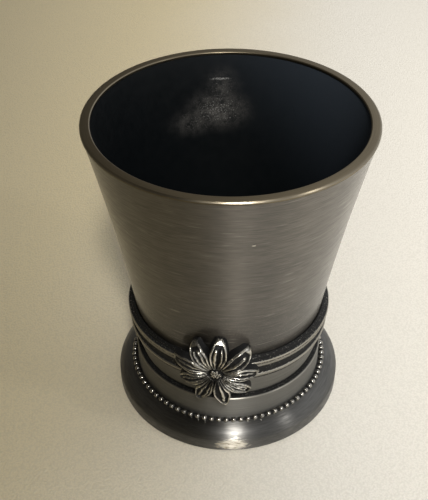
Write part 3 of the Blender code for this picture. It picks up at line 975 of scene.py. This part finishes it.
@dataclass(frozen=True)
class Pedestal:
    """The neck, its ring of beads, the foot and what closes it below."""

    neck: Span = (7.7, 17.0)  # Lowest and highest edge of the neck
    neck_radius: float = 30.23  # Radius of the neck
    # Its side below the lip, set off from that radius and its highest edge
    neck_top: tuple[Row, ...] = ((0.0, 0.72, 0.0, 0.85), (0.0, 1.6, 0.0, 1.0))
    # Its side by the foot, set off from that radius and its lowest edge
    neck_foot: tuple[Row, ...] = ((0.0, -1.4, 0.0, 1.0), (0.0, 0.0, 0.0, 0.6))
    lip_radius: float = 30.35  # Radius of the lip round the neck's ledge
    # The ledge and the lip, set off from that radius and the neck's highest edge
    lip_face: tuple[Row, ...] = (
        (1.9, 0.0, 0.0, 0.2),
        (0.55, 0.0, 0.0, 0.28),
        (0.3, 0.0, 0.0, 1.2),
        (0.0, 0.1, 0.3, 1.3),
        (0.0, 0.6, 0.1, 1.0),
    )
    bore: float = 26.23  # Inner radius of the neck
    plug: float = 28.23  # Outer radius of the spigot under the neck
    plug_depth: float = 3.0  # Length of that spigot
    bead: float = 1.8  # Diameter of a bead
    bead_ring: float = 31.43  # Radius of the ring of beads
    bead_height: float = 8.6  # Height of the beads' middles
    beads: int = 87  # Number of beads
    bead_sizes: Span = (0.95, 1.03)  # Least and greatest size of a bead, as shares of its diameter
    bead_seed: int = 11  # Seed of those sizes
    bead_slices: int = 12  # Slices along a bead
    bead_sides: int = 16  # Sides round a bead
    # How full a slice is where it comes out of the black, as shares of the bead
    bead_full: Span = (0.4, 0.9)
    bead_high: Span = (-1.1, 0.1)  # How far up and out on a bead its metal comes out of the black, which is patina and painted shade
    link: float = 0.8  # Diameter of the wire between beads
    deck: float = 7.4  # Height of the deck that the beads lie on
    deck_wall: float = 2.0  # Thickness of that deck
    deck_radius: float = 32.63  # Radius at which the deck rolls over
    # How far below the beads' middles the deck lies, by the neck and under the beads
    cradle: Span = (0.2, 0.35)
    foot_radius: float = 36.73  # Radius of the foot
    foot_edge: Span = (0.4, 4.4)  # Lowest and highest edge of the foot's upright rim
    flat: float = 1.48  # How flat the foot's slope is: 1 is a quarter of an ellipse, and 2 is straight
    brow: float = 7.8  # Height at which that slope starts, just outside the beads
    brow_wear: float = 0.85  # Wear there
    brow_turn: float = 10.0  # How far round the slope is bare, in degrees
    slope_steps: int = 28  # Facets down the slope
    foot_wall: float = 3.2  # Width of the foot's rim underneath
    shelf: float = 2.0  # Width of the shelf that the plate lies against
    plate: Span = (1.0, 2.2)  # Lowest and highest face of the plate
    pad: float = 0.7  # Thickness of the pad
    pad_margin: float = 0.6  # How far inside the plate's edge the pad ends
    room: float = 0.3  # Room round the spigot and the plate
    seam: float = 0.03  # Room between the neck and the foot

    def neck_turning(self) -> Turning:
        """The neck's profile, with a bright lip round a dark ledge.

        Returns:
            The closed profile.
        """
        low, high = self.neck
        foot = low - self.plug_depth
        corners = [
            Corner(self.bore, foot, ease=0.2),
            Corner(self.bore, high),
            *cut(self.lip_radius, high, self.lip_face),
            *cut(self.neck_radius, high, self.neck_top),
            *cut(self.neck_radius, low, self.neck_foot),
            Corner(self.plug, low),
            Corner(self.plug, foot, ease=0.3),
        ]
        return Turning(corners)

    def slope(self) -> list[Corner]:
        """Corners down the foot's slope, from the brow to the upright rim.

        Returns:
            The corners.
        """
        edge = self.foot_edge[1]
        corners = []
        for step in range(self.slope_steps + 1):
            turn = math.radians(90.0 * step / self.slope_steps)
            radius = self.deck_radius + (self.foot_radius - self.deck_radius) * math.sin(turn) ** self.flat
            height = edge + (self.brow - edge) * math.cos(turn) ** self.flat
            bare = smooth(math.degrees(turn), 0.0, self.brow_turn)
            corners.append(Corner(radius, height, wear=self.brow_wear + (1.0 - self.brow_wear) * bare))
        return corners

    def foot_turning(self) -> Turning:
        """The foot's profile: dark deck, broad rolled flare and the recess under it.

        Returns:
            The closed profile.
        """
        low = self.foot_edge[0]
        bore = self.plug + self.room
        under = self.deck - self.deck_wall
        recess = self.foot_radius - self.foot_wall
        ceiling = self.plate[1] + self.room
        beside = self.neck_radius + self.seam
        by_neck, by_beads = (self.bead_height - drop for drop in self.cradle)
        corners = [
            Corner(bore, under),
            Corner(bore, self.deck),
            Corner(beside, self.deck),
            Corner(beside, by_neck, wear=0.45),
            Corner(self.bead_ring, by_beads, wear=0.55),
            *self.slope(),
            Corner(self.foot_radius, low, ease=0.25, wear=0.7),
            Corner(recess, low, ease=0.2),
            Corner(recess, ceiling),
            Corner(recess - self.shelf, ceiling),
            Corner(recess - self.shelf, under),
        ]
        return Turning(corners)

    def bead_form(self) -> bmesh.types.BMesh:
        """Round beads on one wire: a ring of circles, each sized and set to a slice of a bead.

        Returns:
            The closed form.
        """
        draw = random.Random(self.bead_seed)
        swell = [draw.uniform(*self.bead_sizes) for _ in range(self.beads)]
        slices = self.bead_slices
        count = self.beads * slices
        form = bmesh.new()
        seat = Matrix.Translation((self.bead_ring * MM, 0.0, 0.0)) @ Matrix.Rotation(math.pi / 2, 4, "X")
        bmesh.ops.create_circle(form, segments=self.bead_sides, radius=MM, matrix=seat)
        spin_round(form, count)
        layer = form.verts.layers.float.new(WEAR)
        for vert in form.verts:
            turn = math.atan2(vert.co.y, vert.co.x) % math.tau
            bead, part = divmod(round(turn / math.tau * count) % count, slices)
            full = self.bead / 2 * swell[bead]
            dip = math.pi * (part - 0.5) / (slices - 1)
            shift = -full * math.cos(dip) if part else -math.pi * self.bead_ring / self.beads
            size = max(self.link / 2, full * math.sin(dip)) if part else self.link / 2
            angle = math.tau * (bead + 0.5) / self.beads + shift / self.bead_ring
            out = (vert.co.xy.length / MM - self.bead_ring) * size
            rise = vert.co.z / MM * size
            radius = (self.bead_ring + out) * MM
            vert.co = (radius * math.cos(angle), radius * math.sin(angle), (self.bead_height + rise) * MM)
            # The black between the beads and on their lower, inner sides is patina and painted shade.
            vert[layer] = smooth(size / full, *self.bead_full) * smooth(rise + out, *self.bead_high)
        return face_outwards(form)

    def build(self) -> None:
        """Builds the neck, the beads, the foot, the plate and the pad."""
        satin = WornPewter(
            "neck_pewter",
            (0.24, 0.235, 0.217),
            (0.18, 0.177, 0.163),
            gloss=(0.46, 0.56),
            fleck=0.35,
            drawn=0.85,
        )
        bright = WornPewter(
            "bead_pewter",
            (0.42, 0.405, 0.37),
            (0.33, 0.318, 0.29),
            gloss=(0.15, 0.23),
            cut=0.002,
            fleck=0.3,
        )
        rolled = WornPewter(
            "foot_pewter",
            (0.172, 0.169, 0.159),
            (0.116, 0.114, 0.108),
            lay=Lay.FALLING,
            gloss=(0.29, 0.46),
            stroke=4.0,
            pitch=0.4,
            cut=0.02,
            fleck=0.2,
            # The bright spot at the front of the foot's rim is a painted highlight.
            scuffs_and_highlight=ScuffsAndPaintedHighlight(0.55, (4.2, 6.0), Patch((5.5, -36.3, 2.6), (7.2, 7.2, 3.4)), 0.6),
            drawn=1.0,
            lacquer=0.4,
        )
        plain = WornPewter(
            "plate_pewter",
            (0.17, 0.163, 0.147),
            (0.12, 0.115, 0.104),
            lay=Lay.FLAT,
            gloss=(0.4, 0.5),
        )
        show("pedestal_neck", self.neck_turning().spin(), satin.make(), "neck")
        show("beaded_wire", self.bead_form(), bright.make(), "bead_wire")
        show("rolled_foot", self.foot_turning().spin(), rolled.make(), "foot")
        edge = self.foot_radius - self.foot_wall - self.room
        low, high = self.plate
        disc = [Corner(0.0, high), Corner(edge, high, 0.15), Corner(edge, low, 0.25, 0.6), Corner(0.0, low)]
        show("closing_plate", Turning(disc, False).spin(), plain.make(), "base_plate")
        rim = edge - self.pad_margin
        sole = [Corner(0.0, self.pad), Corner(rim, self.pad, 0.1), Corner(rim, 0.0, 0.3), Corner(0.0, 0.0)]
        rubber = PadRubber("pad_rubber").make()
        show("rubber_pad", Turning(sole, False).spin(), rubber, "base_pad")


@dataclass(frozen=True)
class Petal:
    """One petal of the flower."""

    bearing: float  # Where it points, in degrees from the right
    reach: float  # Distance of its tip from the flower's middle, in millimetres
    lean: float  # How far its tip leans back, in millimetres
    fan: float = 0.0  # How far its ridges run on side by side into the middle: 0 is a closed leaf
    tip: float = 0.5  # How rubbed its tip is, from 0 to 1
    dull: float = 0.0  # How much less rubbed its outer half is, from 0 to 1
    # Where its veins run, as shares of half its width, and how thick they are
    veins: tuple[Span, ...] = ((-0.42, 0.9), (0.3, 1.0))
    blunt: float = 0.75  # How blunt its ends are: 1 is pointed, and less is rounder
    bold: float = 1.0  # How high its ridges stand, as a share of the flower's


@dataclass(frozen=True)
class Chasing:
    """How the petals' faces are chased: sizes in millimetres, and places as shares of a petal's length."""

    step: float = 0.05  # Step along a petal over which the slope of its outline is read
    full: float = 2.1  # Half width of a petal at which its ridges have their full size
    least: float = 0.3  # Least size of its ridges, as a share of that
    edge: float = 0.44  # Reach of a raised edge
    vein: float = 0.4  # Reach of a vein
    # How quickly an edge strays along a petal, its lane in the noise, and how far it strays
    edge_stray: Point = (0.9, 1.5, 0.4)
    # How quickly a vein strays along a petal, the noise's first lane, and the lanes' spacing
    vein_stray: Point = (0.8, 7.0, 5.0)
    turn_stray: float = 0.37  # How quickly the straying changes from petal to petal
    vein_start: Span = (0.02, 0.12)  # Where veins rise
    vein_end: Span = (0.88, 0.76)  # Where they end
    cap: Span = (0.85, 0.92)  # Where the smooth tip starts and is full
    cap_edge: Span = (-0.1, 0.2)  # Distance inside the outline between which that tip rises
    rub: Span = (0.35, 1.0)  # Ridge height between which the blackening is rubbed off
    rub_edge: Span = (-0.2, 0.15)  # Distance inside the outline between which rubbing starts
    dull: Span = (0.25, 0.7)  # Where a dull petal's outer half starts and is full
    patchy: Span = (1.7, 0.4)  # How quickly rubbing changes over a petal, and by how much
    seam: Span = (0.1, -0.45)  # Distance inside the outline between which the face falls to the seam
    collar: Span = (-0.2, 0.4)  # Distance off the hub between which ridges rise
    fall: Span = (0.76, 1.06)  # Where a tip starts to fall back and where it has fallen
    shine: float = 1.6  # Wear of the best rubbed ridge
    heart: float = 0.6  # Wear near the hub, as a share of that further out
    heart_span: Span = (0.1, 0.4)  # Where that ends
    flank_wear_and_shade: float = 0.2  # Wear at the top of a petal's sides, which blacken towards the back as patina and painted shade


@dataclass(frozen=True)
class Flower:
    """The applied flower: pointed petals with raised edges and veins, and a grained boss."""

    # The petals, by falling bearing
    petals: tuple[Petal, ...] = (
        Petal(123.0, 12.2, 0.9, 0.1, 0.78, 0.1, ((-0.3, 1.1), (0.35, 1.3)), 0.38),
        Petal(85.0, 12.1, 0.9, 0.0, 1.0, 0.0, ((-0.35, 1.4), (0.4, 0.9)), 0.42),
        Petal(42.0, 12.9, 0.8, 0.0, 0.8, 0.0, ((0.1, 1.5),), 0.45),
        Petal(-3.0, 12.4, 0.2, 1.0, 0.8, 0.2, bold=0.6),
        Petal(-36.0, 12.2, 0.2, 1.0, 0.7, 0.12, ((-0.45, 0.9), (0.0, 0.9), (0.45, 0.9)), 0.5),
        Petal(-77.0, 12.9, -0.3, 0.6, 1.0, 0.0, ((-0.1, 1.4),), 0.95),
        Petal(-115.0, 12.3, -0.2, 0.9, 0.75, 0.25, blunt=0.95),
        Petal(-156.0, 12.0, 0.6, 1.0, 0.6, 0.25, bold=0.8),
        Petal(-195.0, 13.2, 0.0, 1.0, 0.8, 0.25, bold=0.45),
    )
    chasing: Chasing = Chasing()  # How their faces are chased
    seat: float = 32.3  # Radius of the flower's back
    height: float = 32.4  # Height of its middle
    hub: float = 2.1  # Radius of the flat middle under the boss
    hole: float = 1.6  # Radius of the hole for the stem
    root: float = 1.5  # Distance from the middle to where a petal's raised edges start
    closed: float = 0.8  # How much further out those of a closed leaf start
    shoulder: float = 6.4  # Distance from the middle to where neighbouring petals part
    broad: float = 2.4  # Half the greatest width of a petal's raised outline
    crowd: float = 0.93  # How much of its sector that outline may fill
    fanned: Span = (0.5, 0.1)  # Shares of a petal's length between which its ridges fan out
    swell: float = 1.2  # How far out a petal is widest: 1 is halfway
    sway: float = 0.3  # How far its ridges stray from side to side
    arch: float = 1.2  # How far a petal arches out between the middle and its tip
    margin: float = 0.5  # Width of the rolled edge outside the raised outline
    draft: float = 0.3  # How far its sides draw in towards its back
    blank: float = 10.0  # Width of the flat ring that the petals are drawn out of
    thickness: float = 1.7  # Thickness of a petal's hollows
    ridge: float = 1.0  # Height of its raised edges
    valley: float = 1.1  # Depth of the seam between petals
    rim: float = 0.34  # Distance of the raised edge's crest from the petal's outline
    bevel: float = 1.8  # How far the tips of the upper petals fall back
    columns: int = 40  # Facets across a petal
    rows: int = 56  # Facets along a petal
    back_rows: int = 8  # Facets along its back
    sides: tuple[float, ...] = (0.9, 0.65, 0.4, 0.15)  # Levels of the steps down its sides
    halvings: int = 24  # How often the search for a petal's outline halves its range
    boss: float = 2.0  # Radius of the boss
    boss_depth: float = 0.15  # Thickness of the boss
    boss_rows: int = 36  # Facets out from its middle
    boss_steps: int = 120  # Facets round it
    stand: float = 0.17  # How far it stands off the petals
    cluster: float = 1.8  # Radius of the grained dome on it
    dome: float = 0.8  # Height of that dome
    stem: float = 1.3  # Radius of the stem
    grains: int = 15  # Number of grains
    grain: float = 0.4  # Radius of a grain
    grain_margin: float = 0.3  # How far inside the dome's edge the grains end
    grain_wear: float = 1.4  # Wear at a grain's top
    grain_span: Span = (0.16, 0.37)  # Heights of a grain between which it comes out of the black

    def on_band(self, across: float, up: float, out: float) -> Vector:
        """A point of the flower laid round the beaker.

        Args:
            across: Distance round, to the right, in millimetres.
            up: Distance above the flower's middle.
            out: Distance off its seat.

        Returns:
            The point, in metres.
        """
        angle = across / self.seat
        radius = self.seat + out
        return Vector((radius * math.sin(angle), -radius * math.cos(angle), self.height + up)) * MM

    def sector(self, turn: float) -> tuple[Petal, float, float]:
        """Finds the petal that a share of the round belongs to.

        Args:
            turn: Share of the round, from 0 to 1, with equal shares for all petals.

        Returns:
            The petal, the place across it from -1 to 1, and half its angle on that side in radians.
        """
        count = len(self.petals)
        place = turn * count
        nearest = math.floor(place + 0.5)
        across = 2.0 * (place - nearest)
        side = 1 if across >= 0 else -1
        petal = self.petals[nearest % count]
        other = self.petals[(nearest + side) % count]
        spread = side * (petal.bearing - other.bearing) % 360.0
        return petal, across, math.radians(spread) / 2

    def width(self, petal: Petal, half: float, reach: float) -> float:
        """Half the width of a petal's raised outline.

        Args:
            petal: The petal.
            half: Half its angle, in radians.
            reach: Distance from the flower's middle, in millimetres.

        Returns:
            Half the width at that distance, in millimetres.
        """
        root = self.root + self.closed * (1.0 - petal.fan)
        share = (reach - root) / (petal.reach - root)
        if not 0.0 < share < 1.0:
            return 0.0
        most = self.crowd * reach * half
        broad = self.broad * half * len(self.petals) / math.pi
        leaf = broad * math.sin(math.pi * share**self.swell) ** petal.blunt
        return min(most, leaf + petal.fan * smooth(share, *self.fanned) * max(0.0, most - leaf))

    def edge(self, petal: Petal, across: float, half: float) -> float:
        """Distance of a petal's outline from the flower's middle.

        Args:
            petal: The petal.
            across: Place across it, from -1 to 1.
            half: Half its angle, in radians.

        Returns:
            The distance in millimetres.
        """
        near, far = self.shoulder, petal.reach
        for _ in range(self.halvings):
            middle = (near + far) / 2
            if self.width(petal, half, middle) + self.margin > middle * half * abs(across):
                near = middle
            else:
                far = middle
        return near

    def relief(self, petal: Petal, across: float, half: float, reach: float) -> tuple[float, float]:
        """Chased face of a petal.

        Args:
            petal: The petal.
            across: Place across it, from -1 to 1.
            half: Half its angle, in radians.
            reach: Distance from the flower's middle, in millimetres.

        Returns:
            Height above the petal's hollows in millimetres, and wear.
        """
        chase = self.chasing
        width = self.width(petal, half, reach)
        slope = (self.width(petal, half, reach + chase.step) - width) / chase.step
        aside = reach * half * abs(across)
        off = (width - aside) / math.sqrt(1 + slope * slope)
        share = (reach - self.root) / (petal.reach - self.root)
        scale = min(1.0, max(chase.least, width / chase.full))
        spread = math.copysign(aside, across)
        stray = self.sway * scale
        turn = petal.bearing * chase.turn_stray
        pace, lane, much = chase.edge_stray
        shift = stray * noise.noise((reach * pace, turn, math.copysign(lane, across)))
        border = bell(off + much * shift, self.rim * scale, chase.edge * scale)
        vein = 0.0
        pace, lane, apart = chase.vein_stray
        for place, thick in petal.veins:
            shift = stray * noise.noise((reach * pace, turn, apart * place + lane))
            vein = max(vein, bell(spread - place * width + shift, 0.0, chase.vein * thick * scale))
        vein *= smooth(share, *chase.vein_start) * smooth(share, *chase.vein_end)
        cap = smooth(share, *chase.cap) * smooth(off, *chase.cap_edge)
        rubbed = smooth(max(border, vein, petal.tip * cap), *chase.rub) * smooth(off, *chase.rub_edge)
        rubbed *= 1.0 - petal.dull * smooth(share, *chase.dull)
        pace, much = chase.patchy
        rubbed *= 1.0 + much * noise.noise((reach * pace, spread * pace, petal.bearing))
        rise = smooth(reach, *(self.hub + place for place in chase.collar))
        upper = 0.5 + 0.5 * math.sin(math.radians(petal.bearing))
        fall = self.bevel * smooth(share, *chase.fall) * upper
        crest = petal.bold * self.ridge * max(border, vein, cap)
        height = (crest - self.valley * smooth(off, *chase.seam)) * rise - fall
        heart = chase.heart + (1.0 - chase.heart) * smooth(share, *chase.heart_span)
        return height, chase.shine * rubbed * rise * heart

    def petal_form(self) -> bmesh.types.BMesh:
        """All petals in one casting: a flat ring of front, sides and back, drawn out to the petals.

        Returns:
            The closed form.
        """
        front = [self.hub + self.blank * row / self.rows for row in range(self.rows + 1)]
        back = [self.hub + self.blank * row / self.back_rows for row in range(self.back_rows, -1, -1)]
        points = [(ring, 1.0) for ring in (self.hole, *front)]
        points += [(self.hub + self.blank, level) for level in self.sides]
        points += [(ring, 0.0) for ring in (*back, self.hole)]
        form = bmesh.new()
        trace(form, points, closed=True)
        count = len(self.petals) * self.columns
        spin_round(form, count)
        places = [self.sector(column / count) for column in range(count)]
        edges = [self.edge(*place) for place in places]
        face = (1.0 + max(self.sides)) / 2
        layer = form.verts.layers.float.new(WEAR)
        for vert in form.verts:
            ring = vert.co.xy.length / MM
            level = vert.co.z / MM
            column = round(math.atan2(vert.co.y, vert.co.x) / math.tau * count) % count
            petal, across, half = places[column]
            along = max(0.0, (ring - self.hub) / self.blank)
            draft = self.draft * (1 - level) ** 2 * along
            reach = min(ring, self.hub) + along * (edges[column] - self.hub) - draft
            height, wear = self.relief(petal, across, half, reach)
            swell = self.arch * math.sin(math.pi * along)
            out = level * (self.thickness + height + swell) - petal.lean * along**2 * (1 - across * across)
            bearing = math.radians(petal.bearing) - across * half
            vert.co = self.on_band(reach * math.cos(bearing), reach * math.sin(bearing), out)
            # A petal's sides blacken towards the back: patina and painted shade.
            vert[layer] = wear if level > face else self.chasing.flank_wear_and_shade * level
        return face_outwards(form)

    def boss_form(self) -> bmesh.types.BMesh:
        """Flat boss with a dome of round grains on it, and its stem.

        Returns:
            The closed form.
        """
        base = self.thickness + self.stand
        rings = [(self.boss * row / self.boss_rows, 0.0) for row in range(self.boss_rows + 1)]
        under = [(self.boss, -self.boss_depth), (self.stem, -self.boss_depth)]
        foot = [(self.stem, -base), (0.0, -base)]
        form = Turning([Corner(*point) for point in rings + under + foot], False, self.boss_steps).spin()
        layer = form.verts.layers.float[WEAR]
        golden = math.pi * (3 - math.sqrt(5))
        spread = self.cluster - self.grain_margin
        seeds = []
        for seed in range(self.grains):
            way = Vector((math.cos(golden * seed), math.sin(golden * seed)))
            seeds.append(way * spread * math.sqrt(seed / self.grains))
        for vert in form.verts:
            spot = vert.co.xy / MM
            level = vert.co.z / MM
            vert[layer] = 0.0
            if level > -self.boss_depth / 2:
                near = min((spot - seed).length for seed in seeds)
                crown = self.dome * math.sqrt(max(0.0, 1 - (spot.length / self.cluster) ** 2))
                ball = math.sqrt(max(0.0, self.grain**2 - near**2))
                vert[layer] = self.grain_wear * smooth(ball, *self.grain_span)
                level += crown + ball
            vert.co = self.on_band(spot.x, spot.y, base + level)
        return face_outwards(form)

    def build(self) -> None:
        """Builds the petals and the boss."""
        chased = WornPewter(
            "chased_pewter",
            (0.3, 0.288, 0.254),
            (0.19, 0.183, 0.162),
            oxide=(0.007, 0.007, 0.0072),
            buffed=(0.66, 0.635, 0.57),
            gloss=(0.24, 0.36),
            shine=0.24,
            stroke=1.0,
            pitch=0.6,
            cut=0.05,
            fleck=0.3,
        ).make()
        show("petals", self.petal_form(), chased, "flower_petals")
        show("flower_boss", self.boss_form(), chased, "flower_centre")


@dataclass(frozen=True)
class Lamp:
    """A round light."""

    name: str
    bearing: float  # Where it stands, in degrees to the right of the flower
    rise: float  # Its height above the horizon, in degrees
    distance: float  # Its distance from the beaker, in millimetres
    size: float  # Its diameter, in millimetres
    power: float  # Its power in watts
    tint: Colour = (1.0, 1.0, 1.0)  # Its colour
    aim: Point = (0.0, 0.0, 40.0)  # The point that it faces, in millimetres
    # For a hooded lamp, the angles off its axis between which its light fades, in degrees
    cone: Span | None = None

    def data(self) -> bpy.types.Light:
        """The light itself, hooded or open.

        Returns:
            The light's data.
        """
        made = bpy.data.lights.new(self.name, "SPOT" if self.cone else "AREA")
        made.energy = self.power
        made.color = self.tint
        if self.cone:
            inner, outer = (math.cos(math.radians(angle)) for angle in self.cone)
            made.shadow_soft_size = self.size * MM / 2
            made.spot_size = 2 * math.radians(self.cone[1])
            made.spot_blend = (inner - outer) / (1 - outer)
        else:
            made.shape = "DISK"
            made.size = self.size * MM
        return made

    def hang(self) -> None:
        """Hangs the light and turns it to what it faces."""
        bearing, rise = math.radians(self.bearing), math.radians(self.rise)
        right, front = math.sin(bearing) * math.cos(rise), math.cos(bearing) * math.cos(rise)
        light = put(self.name, self.data())
        light.location = Vector((right, -front, math.sin(rise))) * self.distance * MM
        light.rotation_euler = (light.location - Vector(self.aim) * MM).to_track_quat("Z", "Y").to_euler()


@dataclass(frozen=True)
class Studio:
    """Table, lights and camera."""

    # The lights
    lamps: tuple[Lamp, ...] = (
        Lamp(
            "ceiling_lamp",
            bearing=19.0,
            rise=53.0,
            distance=1500.0,
            size=330.0,
            power=116.0,
            tint=(1.0, 0.97, 0.92),
            aim=(2000.0, 800.0, 0.0),
            cone=(49.9, 57.3),
        ),
        Lamp(
            "side_lamp",
            bearing=71.0,
            rise=46.0,
            distance=620.0,
            size=45.0,
            power=0.24,
            tint=(1.0, 0.97, 0.93),
        ),
    )
    # Colour of the room's soft light on the left and on the right
    sky: tuple[Colour, Colour] = ((1.0, 0.93, 0.79), (0.98, 0.985, 1.0))
    glow: Span = (0.1, 0.79)  # Strength of that light on the left and on the right
    dusk: Span = (-0.3, 0.25)  # Where it changes, as shares of the way from the middle to either side
    viewer: Point = (0.1, -0.7, 0.7)  # The way to the dim side of the room, in front
    # How squarely a direction faces that way, where the dimming starts and where it is full
    shadow: Span = (0.35, 0.9)
    dim: float = 0.5  # What is left of the light there
    swing: float = 7.2  # How far the camera stands to the right of the flower, in degrees
    stand: Point = (-4.6, -201.9, 215.0)  # The camera's place before that swing, in millimetres
    pitch: float = 39.08  # How far it looks down, in degrees
    roll: float = -0.27  # How far it leans, in degrees
    lens: float = 60.84  # Focal length, in millimetres on a 36 mm frame
    table: float = 6000.0  # Width of the table, in millimetres
    table_cells: int = 12  # Facets along each side of the table

    def lay_table(self) -> None:
        """Lays the table under the beaker."""
        form = bmesh.new()
        cells = self.table_cells
        bmesh.ops.create_grid(form, x_segments=cells, y_segments=cells, size=self.table * MM / 2)
        mesh = bpy.data.meshes.new("table")
        form.to_mesh(mesh)
        form.free()
        mesh.materials.append(TableTop("table_covering").make())
        table = put("table", mesh)

    def light_room(self) -> None:
        """Hangs the lamps, and makes the room's soft light, brighter on the right and dim in front."""
        for lamp in self.lamps:
            lamp.hang()
        bench = NodeBench(bpy.data.worlds.new("room"), "Background", "Generated")
        right = bench.ease(bench.gauge(Gauge.FACING, bench.place, (1.0, 0.0, 0.0)), *self.dusk)
        squarely = bench.gauge(Gauge.FACING, bench.place, tuple(Vector(self.viewer).normalized()))
        left_over = bench.ease(squarely, *self.shadow, 1.0, self.dim)
        strength = bench.work(Sum.TIMES, bench.between(right, *self.glow), left_over)
        bench.dress({"Color": bench.mix(right, *self.sky), "Strength": strength})
        bpy.context.scene.world = bench.owner

    def set_camera(self) -> None:
        """Sets the camera where the photograph was taken from."""
        down, lean = math.radians(self.pitch), math.radians(self.roll)
        ahead = Vector((0.0, math.cos(down), -math.sin(down)))
        upward = Vector((0.0, math.sin(down), math.cos(down)))
        right = Vector((1.0, 0.0, 0.0))
        level = right * math.cos(lean) + upward * math.sin(lean)
        stood = upward * math.cos(lean) - right * math.sin(lean)
        turn = Matrix.Rotation(math.radians(self.swing), 4, "Z")
        facing = Matrix((level, stood, -ahead)).transposed().to_4x4()
        data = bpy.data.cameras.new("camera")
        data.lens = self.lens
        data.clip_start = MM
        camera = put("camera", data)
        camera.matrix_world = turn @ Matrix.Translation(Vector(self.stand) * MM) @ facing
        bpy.context.scene.camera = camera

    def build(self) -> None:
        """Sets up the studio."""
        bpy.context.scene.view_settings.view_transform = "Standard"
        self.lay_table()
        self.light_room()
        self.set_camera()


def main() -> None:
    """Builds the beaker from the cup down, then the studio."""
    logging.basicConfig(level=logging.INFO, format="%(name)s: %(message)s")
    for assembly in (Cup(), RibbedCollar(), Pedestal(), Flower(), Studio()):
        assembly.build()
        LOG.info("%s done", type(assembly).__name__)


if __name__ == "__main__":
    main()
